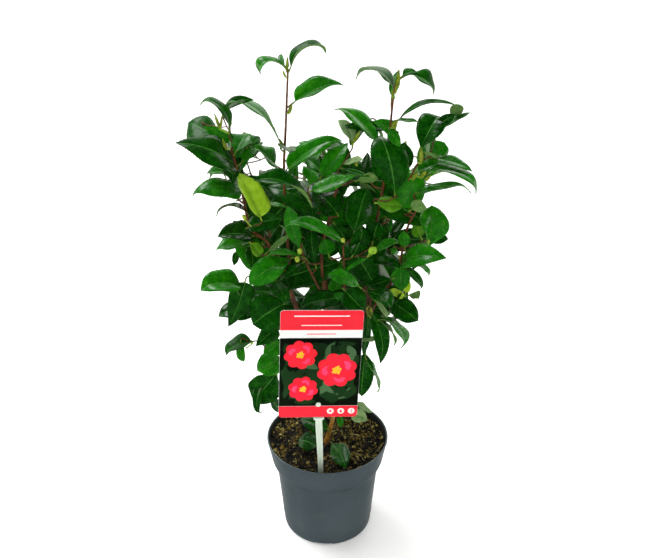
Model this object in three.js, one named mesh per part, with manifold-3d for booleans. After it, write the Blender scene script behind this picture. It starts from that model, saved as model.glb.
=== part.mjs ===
// A young camellia shrub growing in a round plastic nursery pot, with a plant
// label on a stick. Millimetres, +Z up. The origin is the centre of the pot's
// flat underside; +X is to the right and -Y is the side that the label faces.

import * as THREE from 'three';
import { mergeVertices } from 'three/addons/utils/BufferGeometryUtils.js';
import Module from 'manifold-3d';

const wasm = await Module();
wasm.setup();

// ---------------------------------------------------------------------------
// Driving dimensions
// ---------------------------------------------------------------------------
const GAP = 0.35;                 // clearance between neighbouring pieces

const POT = {
  height: 131, rimR: 75, collarHeight: 34, collarFootR: 69.6,
  wallTopR: 63.9, baseR: 56, wall: 1.4, floor: 2.4, segments: 28,
  drainR: 4, drainCircleR: 43, drains: 4,
  notchWidth: 24, notchHeight: 2.2, notches: 3,
};

const SOIL = { top: 116, crown: 1.6, rings: 5, segments: 22, flatR: 16, bottom: 3.4 };

const TRUNK = { footR: 4.3, r: 2.7, tipR: 2.3, flare: 7 };

const LABEL = {
  width: 90, height: 140, thick: 0.8, corner: 4, bottomZ: 202, footX: -11,
  y: -60, leanDeg: 2.47, postR: 1.5, buttonR: 3, buttonThick: 1.2, buttonUp: 18,
  turnDeg: 4.65,                  // the whole label is turned a little, its right edge further back
};
const STICK = {
  width: 8, tipWidth: 4.5, thick: 1.6, topZ: 226, tipZ: 86, headWidth: 12,
  headHeight: 2.6, leanDeg: -1.5, footX: -7.6,
};

// Limbs: each is one tapering stem, from its start inside its parent to its
// tip, through a few points (x, y, z), with a radius at either end. A limb
// ends where it enters the mass named in `into`.
const LIMBS = {
  bough_left_leader: {
    parent: 'trunk', r: [2.5, 0.95], sides: 6, steps: 13, into: 'foliage_left_leader_top',
    path: [[4, 4, 216], [-18, 6, 271], [-40, 8, 317], [-42, 8, 356], [-45, 6, 412], [-46, 4, 474], [-43, 2, 521], [-39, 0, 584]],
  },
  bough_right_leader: {
    parent: 'trunk', r: [2.5, 0.95], sides: 6, steps: 13, into: 'foliage_right_leader_top',
    path: [[8, 3, 196], [29, -2, 256], [48, -7, 303], [43, -6, 342], [47, -2, 381], [57, 2, 438], [63, 4, 488], [67, 2, 552], [70, 2, 571]],
  },
  bough_far_left: {
    parent: 'bough_left_leader', r: [1.9, 1.1], sides: 6, steps: 10, into: 'foliage_upper_left',
    path: [[-40, 8, 319], [-50, 2, 361], [-65, -6, 396], [-82, -16, 417], [-86, -20, 441], [-92, -15, 477], [-99, -10, 505]],
  },
  bough_centre: {
    parent: 'trunk', r: [2.1, 1.2], sides: 6, steps: 9, into: 'foliage_centre_top',
    path: [[4, 6, 240], [-1, 1, 305], [-4, -4, 339], [-6, -5, 385], [3, -4, 428], [12, 0, 465]],
  },
  bough_centre_left: {
    parent: 'bough_centre', r: [1.5, 1.1], sides: 6, steps: 5, into: 'foliage_centre_front',
    path: [[-3, -3, 329], [-10, -12, 345], [-25, -24, 387], [-28, -28, 406]],
  },
  bough_centre_right: {
    parent: 'bough_centre', r: [1.5, 1.0], sides: 6, steps: 7, into: 'foliage_centre_front',
    path: [[3, 5, 250], [20, -3, 290], [25, -8, 318], [19, -14, 350], [18, -20, 382], [17, -26, 402]],
  },
  bough_right_outer: {
    parent: 'bough_right_leader', r: [1.8, 1.1], sides: 6, steps: 8, into: 'foliage_right_side',
    path: [[48, -7, 303], [57, -12, 328], [70, -14, 350], [79, -14, 373], [86, -12, 415], [96, -12, 440]],
  },
  bough_right_upper: {
    parent: 'bough_right_leader', r: [1.3, 1.0], sides: 6, steps: 5, into: 'foliage_right_upper',
    path: [[57, 2, 436], [73, 0, 446], [83, -2, 461], [95, -6, 488]],
  },
  bough_back_left: {
    parent: 'bough_left_leader', r: [1.9, 1.1], sides: 6, steps: 7, into: 'foliage_back_left',
    path: [[-31, 7, 296], [-46, 26, 330], [-62, 46, 368], [-78, 62, 410], [-84, 68, 440]],
  },
  bough_back: {
    parent: 'trunk', r: [2.0, 1.1], sides: 6, steps: 7, into: 'foliage_back_top',
    path: [[3, 6, 250], [4, 26, 290], [-4, 48, 336], [-10, 64, 384], [-8, 72, 430]],
  },
  bough_back_right: {
    parent: 'bough_right_leader', r: [1.8, 1.1], sides: 6, steps: 7, into: 'foliage_back_right',
    path: [[34, -3, 268], [48, 20, 306], [62, 42, 350], [72, 58, 396], [78, 64, 430]],
  },
};

// Foliage masses: centre, half sizes along the mass's own axes, turn about Z
// and lean about Y in degrees, how rough it is, and how finely it is cut up.
const MASSES = {
  foliage_left_leader_top:  { at: [-34, 0, 594], half: [35, 24, 18], lean: 8, rough: 0.12, fine: 2 },
  foliage_left_leader_mid:  { at: [-14, -2, 563], half: [29, 15, 14], lean: -14, rough: 0.12, fine: 1 },
  foliage_left_leader_low:  { at: [-72, 0, 532], half: [35, 14, 15], lean: 40, rough: 0.12, fine: 1 },
  foliage_upper_left:       { at: [-114, -2, 514], half: [48, 44, 42], rough: 0.16, fine: 2 },
  foliage_left_side:        { at: [-100, -28, 448], half: [49, 42, 27], lean: -6, rough: 0.14, fine: 1 },
  foliage_left_waist:       { at: [-96, -20, 398], half: [39, 36, 23], rough: 0.14, fine: 1 },
  foliage_left_low:         { at: [-109, -34, 336], half: [34, 37, 35], rough: 0.14, fine: 2 },
  foliage_left_inner:       { at: [-62, -28, 330], half: [25, 30, 42], rough: 0.12, fine: 1 },
  foliage_left_sprig:       { at: [-96, -34, 277], half: [26, 16, 15], lean: -10, rough: 0.14, fine: 1 },
  foliage_left_foot:        { at: [-70, -30, 235], half: [22, 24, 44], rough: 0.14, fine: 1 },
  foliage_centre_left:      { at: [-54, -6, 472], half: [31, 38, 34], rough: 0.13, fine: 1 },
  foliage_centre_top:       { at: [-3, 0, 476], half: [35, 38, 44], rough: 0.14, fine: 2 },
  foliage_centre_high:      { at: [30, 12, 516], half: [27, 30, 24], rough: 0.12, fine: 1 },
  foliage_right_leader_top: { at: [68, 2, 575], half: [42, 26, 15], lean: 4, rough: 0.12, fine: 2 },
  foliage_right_leader_mid: { at: [96, 0, 529], half: [42, 20, 17], lean: -10, rough: 0.12, fine: 1 },
  foliage_right_inner_top:  { at: [67, 4, 476], half: [24, 36, 34], rough: 0.12, fine: 1 },
  foliage_right_upper:      { at: [122, -8, 486], half: [36, 44, 42], rough: 0.15, fine: 2 },
  foliage_right_side:       { at: [108, -14, 424], half: [27, 34, 26], rough: 0.14, fine: 1 },
  foliage_right_low:        { at: [98, -22, 362], half: [40, 34, 32], rough: 0.14, fine: 1 },
  foliage_right_inner:      { at: [48, -34, 424], half: [34, 40, 32], rough: 0.13, fine: 1 },
  foliage_centre_front:     { at: [-8, -48, 398], half: [47, 40, 40], rough: 0.14, fine: 2 },
  foliage_right_low_inner:  { at: [73, -28, 320], half: [30, 32, 17], lean: 10, rough: 0.12, fine: 1 },
  foliage_right_hanging:    { at: [66, -44, 288], half: [26, 19, 28], rough: 0.14, fine: 1 },
  foliage_label_side:       { at: [42, -30, 218], half: [24, 24, 40], rough: 0.12, fine: 1 },
  foliage_centre_low:       { at: [-6, -12, 300], half: [30, 28, 30], rough: 0.12, fine: 1 },
  foliage_soil_left:        { at: [-24, -10, 134], half: [13, 14, 12], rough: 0.10, fine: 1 },
  foliage_soil_right:       { at: [14, -22, 124], half: [10, 14, 6], turn: -30, rough: 0.08, fine: 1 },
  foliage_back_left:        { at: [-92, 78, 458], half: [52, 48, 44], rough: 0.15, fine: 2 },
  foliage_back_left_low:    { at: [-84, 66, 362], half: [42, 42, 34], rough: 0.14, fine: 1 },
  foliage_back_top:         { at: [-6, 92, 446], half: [48, 46, 40], rough: 0.14, fine: 1 },
  foliage_back_low:         { at: [-2, 74, 222], half: [44, 40, 38], rough: 0.13, fine: 1 },
  foliage_back_right:       { at: [88, 74, 448], half: [50, 48, 46], rough: 0.15, fine: 2 },
  foliage_back_right_low:   { at: [82, 62, 350], half: [42, 42, 34], rough: 0.14, fine: 1 },
};

// ---------------------------------------------------------------------------
// Helpers
// ---------------------------------------------------------------------------
// A small repeatable number stream, so that every build gives the same shape.
function stream(seed) {
  let s = (seed * 2654435761) >>> 0;
  return () => {
    s = (s + 0x6d2b79f5) >>> 0;
    let t = Math.imul(s ^ (s >>> 15), 1 | s);
    t = (t + Math.imul(t ^ (t >>> 7), 61 | t)) ^ t;
    return ((t ^ (t >>> 14)) >>> 0) / 4294967296;
  };
}

function bare(geometry) {
  const g = geometry.clone();
  g.deleteAttribute('normal');
  g.deleteAttribute('uv');
  return mergeVertices(g, 1e-4);
}

function solidOf(geometry) {
  const g = bare(geometry);
  return new wasm.Manifold(new wasm.Mesh({
    numProp: 3,
    vertProperties: new Float32Array(g.attributes.position.array),
    triVerts: new Uint32Array(g.index.array),
  }));
}

function geometryOf(solid) {
  const m = solid.getMesh();
  const g = new THREE.BufferGeometry();
  const n = m.vertProperties.length / m.numProp;
  const pos = new Float32Array(n * 3);
  for (let i = 0; i < n; i++) {
    for (let k = 0; k < 3; k++) pos[3 * i + k] = m.vertProperties[m.numProp * i + k];
  }
  g.setAttribute('position', new THREE.BufferAttribute(pos, 3));
  g.setIndex(new THREE.BufferAttribute(new Uint32Array(m.triVerts), 1));
  g.computeVertexNormals();
  return g;
}

// The one piece of a cut solid that matters: the largest, or the one whose
// lowest point is lowest.
function mainPiece(solid, lowest = false) {
  const pieces = solid.decompose();
  let best = null;
  let score = -Infinity;
  for (const p of pieces) {
    const s = lowest ? -p.boundingBox().min[2] : p.volume();
    if (s > score && p.volume() > 1) { score = s; best = p; }
  }
  return best ?? solid;
}

const material = (color, roughness, metalness = 0) =>
  new THREE.MeshStandardMaterial({ color, roughness, metalness });

function piece(name, geometry, mat, flat = false) {
  const mesh = new THREE.Mesh(geometry, mat);
  mesh.name = name;
  mat.flatShading = flat;
  return mesh;
}

// A tapering round limb along a smooth curve: a closed cylinder whose rings
// are carried onto the curve.
function limb(points, radiusAt, sides, steps, grow = 0) {
  const curve = new THREE.CatmullRomCurve3(points.map((p) => new THREE.Vector3(...p)), false, 'centripetal');
  const g = new THREE.CylinderGeometry(1, 1, 1, sides, steps);
  const frames = curve.computeFrenetFrames(steps, false);
  const pos = g.attributes.position;
  const v = new THREE.Vector3();
  for (let i = 0; i < pos.count; i++) {
    v.fromBufferAttribute(pos, i);
    const k = Math.round((v.y + 0.5) * steps);
    const t = k / steps;
    const r = radiusAt(t) + grow;
    const c = curve.getPointAt(t);
    if (grow && k === 0) c.addScaledVector(frames.tangents[0], -grow);
    if (grow && k === steps) c.addScaledVector(frames.tangents[steps], grow);
    c.addScaledVector(frames.normals[k], v.z * r);
    c.addScaledVector(frames.binormals[k], v.x * r);
    pos.setXYZ(i, c.x, c.y, c.z);
  }
  return g;
}

// An uneven closed mass: a ball of facets pushed in and out by slow waves and
// by a few leaf-like lobes, then stretched to its half sizes and set in place.
function foliage(spec, seed, grow = 0) {
  const rnd = stream(seed);
  const g = bare(new THREE.IcosahedronGeometry(1, spec.fine));
  const waves = [];
  for (let i = 0; i < 4; i++) {
    const d = new THREE.Vector3(rnd() - 0.5, rnd() - 0.5, rnd() - 0.5).normalize();
    waves.push({ d, k: 2.4 + 2.4 * i * rnd(), p: rnd() * Math.PI * 2, a: 1 / (i + 1.4) });
  }
  const lobes = [];
  for (let i = 0; i < 5; i++) {
    lobes.push({ d: new THREE.Vector3(rnd() - 0.5, rnd() - 0.5, rnd() - 0.6).normalize(), a: 0.5 + rnd() });
  }
  const turn = new THREE.Matrix4().makeRotationZ(THREE.MathUtils.degToRad(spec.turn ?? 0));
  const lean = new THREE.Matrix4().makeRotationY(THREE.MathUtils.degToRad(spec.lean ?? 0));
  const place = new THREE.Matrix4().makeTranslation(...spec.at).multiply(turn).multiply(lean);
  const pos = g.attributes.position;
  const v = new THREE.Vector3();
  const radii = [];
  let sum = 0;
  for (let i = 0; i < pos.count; i++) {
    v.fromBufferAttribute(pos, i).normalize();
    let r = 1;
    for (const w of waves) r += spec.rough * w.a * Math.sin(w.k * w.d.dot(v) + w.p);
    for (const l of lobes) r += spec.rough * l.a * Math.pow(Math.max(0, l.d.dot(v)), 14);
    radii.push(r);
    sum += r;
  }
  const even = pos.count / sum;
  for (let i = 0; i < pos.count; i++) {
    v.fromBufferAttribute(pos, i).normalize().multiplyScalar(radii[i] * even);
    v.set(v.x * (spec.half[0] + grow), v.y * (spec.half[1] + grow), v.z * (spec.half[2] + grow));
    v.applyMatrix4(place);
    pos.setXYZ(i, v.x, v.y, v.z);
  }
  return g;
}

// ---------------------------------------------------------------------------
// Pot: a thin round nursery pot with a deep collar, drain holes and low
// notches in its foot.
// ---------------------------------------------------------------------------
function potSolid() {
  const w = POT.wall;
  const h = POT.height;
  const cz = h - POT.collarHeight;
  const profile = [
    [0, 0], [POT.baseR - 2.2, 0], [POT.baseR - 0.5, 0.9], [POT.baseR, 2.6],
    [POT.wallTopR, cz - 3.6], [POT.wallTopR + 1.9, cz - 2.9], [POT.collarFootR - 1.3, cz + 0.6],
    [POT.collarFootR, cz + 4.5], [POT.rimR - 0.5, h - 2.4], [POT.rimR, h - 1.6], [POT.rimR, h - 0.5],
    [POT.rimR - 0.5, h], [POT.rimR - w, h], [POT.rimR - w - 0.5, h - 0.6],
    [POT.collarFootR - w, cz + 4.8], [POT.collarFootR - w - 2, cz + 1.2], [POT.wallTopR - w, cz - 3],
    [POT.baseR - w, POT.floor + 1.2], [POT.baseR - w - 1.2, POT.floor], [0, POT.floor],
  ];
  const lathe = new THREE.LatheGeometry(profile.map(([r, z]) => new THREE.Vector2(r, z)), POT.segments);
  lathe.rotateX(Math.PI / 2);
  let pot = solidOf(lathe);
  for (let i = 0; i < POT.drains; i++) {
    const a = ((i + 0.5) / POT.drains) * Math.PI * 2;
    const hole = new THREE.CylinderGeometry(POT.drainR, POT.drainR, POT.floor + 4, 8);
    hole.rotateX(Math.PI / 2);
    hole.translate(POT.drainCircleR * Math.cos(a), POT.drainCircleR * Math.sin(a), POT.floor / 2);
    pot = pot.subtract(solidOf(hole));
  }
  for (let i = 0; i < POT.notches; i++) {
    const a = -Math.PI / 2 - 0.1 + (i / POT.notches) * Math.PI * 2;
    const notch = new THREE.BoxGeometry(12, POT.notchWidth, POT.notchHeight * 2);
    notch.translate(POT.baseR + 2, 0, 0);
    notch.rotateZ(a);
    pot = pot.subtract(solidOf(notch));
  }
  return pot;
}

// Potting soil: fills the pot to a little under the rim, with an uneven top
// that is level round the stem.
function soilGeometry() {
  const cz = POT.height - POT.collarHeight;
  const inner = (z) => {
    const lo = POT.baseR - POT.wall;
    const hi = POT.wallTopR - POT.wall;
    if (z < cz - 3) return lo + (hi - lo) * (z - POT.floor) / (cz - 3 - POT.floor) - 0.9;
    const lo2 = POT.collarFootR - POT.wall;
    const hi2 = POT.rimR - POT.wall;
    return lo2 + (hi2 - lo2) * (z - cz - 4.8) / (POT.collarHeight - 5.4) - 0.9;
  };
  const pts = [new THREE.Vector2(0, SOIL.bottom)];
  pts.push(new THREE.Vector2(POT.baseR - POT.wall - 2.2, SOIL.bottom));
  pts.push(new THREE.Vector2(inner(SOIL.bottom + 2), SOIL.bottom + 2));
  pts.push(new THREE.Vector2(inner(cz - 3.4), cz - 3.4));
  pts.push(new THREE.Vector2(POT.collarFootR - POT.wall - 3.2, cz + 2.4));
  pts.push(new THREE.Vector2(inner(cz + 6), cz + 6));
  const edge = inner(SOIL.top - 2);
  for (let i = 0; i <= SOIL.rings; i++) {
    const t = i / (SOIL.rings + 1);
    pts.push(new THREE.Vector2(edge * (1 - t * t * 0.4 - 0.6 * t), SOIL.top - (i === 0 ? 2 : 0)));
  }
  pts.push(new THREE.Vector2(0, SOIL.top));
  const g = new THREE.LatheGeometry(pts, SOIL.segments);
  g.rotateX(Math.PI / 2);
  const m = bare(g);
  const pos = m.attributes.position;
  for (let i = 0; i < pos.count; i++) {
    const x = pos.getX(i);
    const y = pos.getY(i);
    const z = pos.getZ(i);
    const r = Math.hypot(x, y);
    if (z > SOIL.top - 3 && r > SOIL.flatR) {
      const wave = Math.sin(x * 0.11 + 1.3) * Math.cos(y * 0.13 - 0.4) + 0.6 * Math.sin(x * 0.31 + y * 0.27);
      pos.setZ(i, z + SOIL.crown * wave * Math.min(1, (r - SOIL.flatR) / 12) * (r > edge - 1 ? 0.3 : 1));
    }
  }
  return m;
}

// ---------------------------------------------------------------------------
// Label: a card with rounded corners, held by a button on a flat stick.
// ---------------------------------------------------------------------------
function roundedCard(w, h, r, t, hole) {
  const s = new THREE.Shape();
  s.moveTo(-w / 2 + r, 0);
  s.lineTo(w / 2 - r, 0);
  s.absarc(w / 2 - r, r, r, -Math.PI / 2, 0);
  s.lineTo(w / 2, h - r);
  s.absarc(w / 2 - r, h - r, r, 0, Math.PI / 2);
  s.lineTo(-w / 2 + r, h);
  s.absarc(-w / 2 + r, h - r, r, Math.PI / 2, Math.PI);
  s.lineTo(-w / 2, r);
  s.absarc(-w / 2 + r, r, r, Math.PI, Math.PI * 1.5);
  if (hole) {
    const p = new THREE.Path();
    p.absarc(hole.x, hole.y, hole.r, 0, Math.PI * 2, true);
    s.holes.push(p);
  }
  const g = new THREE.ExtrudeGeometry(s, { depth: t, bevelEnabled: false, curveSegments: 4 });
  g.translate(0, 0, -t / 2);
  g.rotateX(Math.PI / 2);
  return g;
}

function cardGeometry(grow = 0) {
  return roundedCard(
    LABEL.width + 2 * grow, LABEL.height + 2 * grow, LABEL.corner + grow, LABEL.thick + 2 * grow,
    grow ? null : { x: -0.09, y: LABEL.buttonUp, r: LABEL.postR + GAP },
  );
}
// The label's turn about the upright line through the card's foot.
const labelTurn = new THREE.Matrix4()
  .makeTranslation(LABEL.footX, LABEL.y, 0)
  .multiply(new THREE.Matrix4().makeRotationZ(THREE.MathUtils.degToRad(LABEL.turnDeg)))
  .multiply(new THREE.Matrix4().makeTranslation(-LABEL.footX, -LABEL.y, 0));
const cardPlace = labelTurn.clone()
  .multiply(new THREE.Matrix4().makeTranslation(LABEL.footX, LABEL.y, LABEL.bottomZ))
  .multiply(new THREE.Matrix4().makeRotationY(THREE.MathUtils.degToRad(LABEL.leanDeg)));

// The stick in its own frame: z = 0 at the height of the soil's top.
function stickSolid(grow = 0) {
  const base = SOIL.top;
  const s = new THREE.Shape();
  const w = STICK.width / 2 + grow;
  s.moveTo(-0.6 - grow, STICK.tipZ - base - grow);
  s.lineTo(0.6 + grow, STICK.tipZ - base - grow);
  s.lineTo(STICK.tipWidth / 2 + grow, STICK.tipZ - base + 10);
  s.lineTo(w, LABEL.bottomZ - base - 14);
  s.lineTo(w, STICK.topZ - base);
  s.lineTo(-w, STICK.topZ - base);
  s.lineTo(-w, LABEL.bottomZ - base - 14);
  s.lineTo(-STICK.tipWidth / 2 - grow, STICK.tipZ - base + 10);
  s.closePath();
  const t = STICK.thick + 2 * grow;
  const blade = new THREE.ExtrudeGeometry(s, { depth: t, bevelEnabled: false });
  blade.translate(0, 0, -t / 2);
  blade.rotateX(Math.PI / 2);
  let solid = solidOf(blade);
  const back = LABEL.thick / 2 + GAP + STICK.thick / 2;      // blade's middle, behind the card
  const head = new THREE.BoxGeometry(STICK.headWidth + 2 * grow, STICK.thick + 2.4 + 2 * grow, STICK.headHeight + 2 * grow);
  head.translate(0, -0.9, LABEL.bottomZ - base - STICK.headHeight / 2 - 0.7);
  solid = solid.add(solidOf(head));
  if (!grow) {
    const post = new THREE.CylinderGeometry(LABEL.postR, LABEL.postR, back + LABEL.thick / 2 + GAP + 0.8, 10);
    post.translate(0, -(back + LABEL.thick / 2 + GAP + 0.8) / 2, LABEL.bottomZ + LABEL.buttonUp - base);
    const button = new THREE.CylinderGeometry(LABEL.buttonR, LABEL.buttonR * 0.8, LABEL.buttonThick, 12);
    button.rotateZ(Math.PI);
    button.translate(0, -(back + LABEL.thick / 2 + GAP + LABEL.buttonThick / 2), LABEL.bottomZ + LABEL.buttonUp - base);
    solid = solid.add(solidOf(post)).add(solidOf(button));
  }
  return solid;
}
const stickBack = LABEL.thick / 2 + GAP + STICK.thick / 2;
const stickPlace = labelTurn.clone()
  .multiply(new THREE.Matrix4().makeTranslation(STICK.footX, LABEL.y + stickBack, SOIL.top))
  .multiply(new THREE.Matrix4().makeRotationY(THREE.MathUtils.degToRad(STICK.leanDeg)));

// ---------------------------------------------------------------------------
// Assembly
// ---------------------------------------------------------------------------
const plant = new THREE.Group();

plant.add(piece('pot', geometryOf(potSolid()), material(0x46525c, 0.45)));

const placed = (solid, matrix) => solid.transform(matrix.toArray());
const stickGrown = placed(stickSolid(GAP), stickPlace);
const stickTrue = placed(stickSolid(), stickPlace);
const soil = mainPiece(solidOf(soilGeometry()).subtract(stickGrown));
plant.add(piece('soil', geometryOf(soil), material(0x2b1d10, 0.95), true));

const label = new THREE.Group();
label.add(piece('label_stick', geometryOf(stickTrue), material(0xd8e2d4, 0.4)));
const card = piece('label_card', cardGeometry(), material(0xf2354f, 0.35));
card.applyMatrix4(cardPlace);
label.add(card);
plant.add(label);
const cardGrown = placed(solidOf(cardGeometry(GAP)), cardPlace);

// Trunk: leans to the right from its flare at the soil to the fork.
const trunkPath = [[-3, 0, SOIL.top + GAP], [1, 0, 130], [7, 0, 158], [8.5, 3, 202], [3, 6, 252]];
const trunkR = (t) => TRUNK.r + (TRUNK.tipR - TRUNK.r) * t + (TRUNK.footR - TRUNK.r) * Math.exp(-t * 135 / TRUNK.flare);
function trunkGeometry(grow = 0) {
  const g = limb(trunkPath, trunkR, 8, 13, grow);
  // flat, level cut at the soil
  const pos = g.attributes.position;
  for (let i = 0; i < pos.count; i++) {
    if (pos.getZ(i) < SOIL.top + 3) pos.setZ(i, SOIL.top + (grow ? 0 : GAP));
  }
  return g;
}
const limbs = { trunk: { solid: solidOf(trunkGeometry()), grown: solidOf(trunkGeometry(GAP)) } };

// Masses in their full shape first, so that each limb can be ended where it
// enters its own mass; then each mass is cut clear of all that is already set.
const full = {};
let seed = 11;
for (const [name, spec] of Object.entries(MASSES)) {
  seed += 7;
  full[name] = { solid: solidOf(foliage(spec, seed)), grown: solidOf(foliage(spec, seed, GAP + 0.15)) };
}

for (const [name, spec] of Object.entries(LIMBS)) {
  const radiusAt = (t) => spec.r[0] + (spec.r[1] - spec.r[0]) * t;
  const cut = (s) => {
    let out = s;
    for (const other of Object.values(limbs)) out = out.subtract(other.grown);
    out = out.subtract(full[spec.into].grown);
    return mainPiece(out);
  };
  const solid = cut(solidOf(limb(spec.path, radiusAt, spec.sides, spec.steps)));
  limbs[name] = { solid, grown: solidOf(limb(spec.path, (t) => radiusAt(t) + GAP, spec.sides, spec.steps)) };
}

const wood = { trunk: 0x8a5a2a };
for (const [name, { solid }] of Object.entries(limbs)) {
  plant.add(piece(name, geometryOf(solid), material(wood[name] ?? 0x5c3016, 0.8)));
}

const keepOut = [...Object.values(limbs).map((l) => l.grown), cardGrown, stickGrown];
const masses = [];
for (const name of Object.keys(MASSES)) {
  let s = full[name].solid;
  for (const k of keepOut) s = s.subtract(k);
  for (const m of masses) s = s.subtract(m.grown);
  s = mainPiece(s);
  masses.push({ name, solid: s, grown: full[name].grown });
}
const greens = [0x1d5a12, 0x24691a, 0x184d10, 0x2f7a1c];
masses.forEach(({ name, solid }, i) => {
  plant.add(piece(name, geometryOf(solid), material(greens[i % greens.length], 0.45), true));
});

export default plant;
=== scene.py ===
"""A young camellia shrub in its round plastic nursery pot, with a plant label on a stick.

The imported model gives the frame: the pot, the soil, the label, the stems and the places of the foliage
masses. Here each mass becomes twigs, stalks, leaves and buds that grow on from the stems."""
import math

import bpy
import numpy as np
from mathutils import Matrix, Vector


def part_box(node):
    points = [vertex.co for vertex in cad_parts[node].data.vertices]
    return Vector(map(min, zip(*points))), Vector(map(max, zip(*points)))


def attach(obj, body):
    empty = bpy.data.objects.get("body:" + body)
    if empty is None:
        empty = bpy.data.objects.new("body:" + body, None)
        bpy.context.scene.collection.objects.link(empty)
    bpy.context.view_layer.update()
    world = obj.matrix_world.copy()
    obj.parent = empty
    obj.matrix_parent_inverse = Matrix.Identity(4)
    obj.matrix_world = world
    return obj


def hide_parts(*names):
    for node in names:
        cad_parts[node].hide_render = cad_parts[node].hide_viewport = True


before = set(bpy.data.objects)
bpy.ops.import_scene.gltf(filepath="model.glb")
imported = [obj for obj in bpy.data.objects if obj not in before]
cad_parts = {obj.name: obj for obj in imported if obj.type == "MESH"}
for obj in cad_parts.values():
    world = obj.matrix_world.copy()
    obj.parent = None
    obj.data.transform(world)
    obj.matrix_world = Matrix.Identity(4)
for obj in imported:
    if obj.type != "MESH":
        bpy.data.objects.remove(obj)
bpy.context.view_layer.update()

# ---------------------------------------------------------------------------
# Pure geometry: everything here is plain numbers, in millimetres, in the row frame
# ---------------------------------------------------------------------------
MM = 0.001

# Limbs, as the CAD source has them: parent, radius at either end, route.
LIMBS = {
    "trunk": (None, 2.7, 2.3, [(-3, 0, 116.4), (1, 0, 130), (7, 0, 158), (8.5, 3, 202), (3, 6, 252)]),
    "bough_left_leader": ("trunk", 2.5, 0.95, [(4, 4, 216), (-18, 6, 271), (-40, 8, 317), (-42, 8, 356), (-45, 6, 412), (-46, 4, 474), (-43, 2, 521), (-39, 0, 584)]),
    "bough_right_leader": ("trunk", 2.5, 0.95, [(8, 3, 196), (29, -2, 256), (48, -7, 303), (43, -6, 342), (47, -2, 381), (57, 2, 438), (63, 4, 488), (67, 2, 552), (70, 2, 571)]),
    "bough_far_left": ("bough_left_leader", 1.9, 1.1, [(-40, 8, 319), (-50, 2, 361), (-65, -6, 396), (-82, -16, 417), (-86, -20, 441), (-92, -15, 477), (-99, -10, 505)]),
    "bough_centre": ("trunk", 2.1, 1.2, [(4, 6, 240), (-1, 1, 305), (-4, -4, 339), (-6, -5, 385), (3, -4, 428), (12, 0, 465)]),
    "bough_centre_left": ("bough_centre", 1.5, 1.1, [(-3, -3, 329), (-10, -12, 345), (-25, -24, 387), (-28, -28, 406)]),
    "bough_centre_right": ("bough_centre", 1.5, 1.0, [(3, 5, 250), (20, -3, 290), (25, -8, 318), (19, -14, 350), (18, -20, 382), (17, -26, 402)]),
    "bough_right_outer": ("bough_right_leader", 1.8, 1.1, [(48, -7, 303), (57, -12, 328), (70, -14, 350), (79, -14, 373), (86, -12, 415), (96, -12, 440)]),
    "bough_right_upper": ("bough_right_leader", 1.3, 1.0, [(57, 2, 436), (73, 0, 446), (83, -2, 461), (95, -6, 488)]),
    "bough_back_left": ("bough_left_leader", 1.9, 1.1, [(-31, 7, 296), (-46, 26, 330), (-62, 46, 368), (-78, 62, 410), (-84, 68, 440)]),
    "bough_back": ("trunk", 2.0, 1.1, [(3, 6, 250), (4, 26, 290), (-4, 48, 336), (-10, 64, 384), (-8, 72, 430)]),
    "bough_back_right": ("bough_right_leader", 1.8, 1.1, [(34, -3, 268), (48, 20, 306), (62, 42, 350), (72, 58, 396), (78, 64, 430)]),
}


def catmull(points, per=8):
    """A smooth line through the points, per steps a span."""
    P = np.array(points, float)
    A = np.vstack([2 * P[0] - P[1], P, 2 * P[-1] - P[-2]])
    t = np.linspace(0, 1, per, endpoint=False)[:, None]
    out = []
    for i in range(1, len(A) - 2):
        a, b, c, d = A[i - 1], A[i], A[i + 1], A[i + 2]
        out.append(0.5 * (2 * b + (c - a) * t + (2 * a - 5 * b + 4 * c - d) * t * t + (3 * b - a - 3 * c + d) * t ** 3))
    return np.vstack(out + [A[-2:-1]])


def even(line, step):
    """The same line with points the same distance apart, and its length."""
    seg = np.linalg.norm(np.diff(line, axis=0), axis=1)
    s = np.concatenate([[0], np.cumsum(seg)])
    n = max(2, int(round(s[-1] / step)) + 1)
    u = np.linspace(0, s[-1], n)
    return np.stack([np.interp(u, s, line[:, k]) for k in range(3)], 1), s[-1]


def unit(v):
    v = np.asarray(v, float)
    return v / max(1e-9, np.linalg.norm(v))


# --- one leaf ---------------------------------------------------------------
OUT_S = [0.0, 0.03, 0.08, 0.15, 0.25, 0.36, 0.46, 0.56, 0.66, 0.75, 0.83, 0.89, 0.94, 0.975, 1.0]
OUT_W = [0.05, 0.20, 0.45, 0.70, 0.91, 0.99, 1.00, 0.965, 0.86, 0.70, 0.50, 0.32, 0.17, 0.075, 0.02]
COLS = np.array([-1.0, -0.72, -0.45, -0.2, -0.035, 0.035, 0.2, 0.45, 0.72, 1.0])


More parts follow.
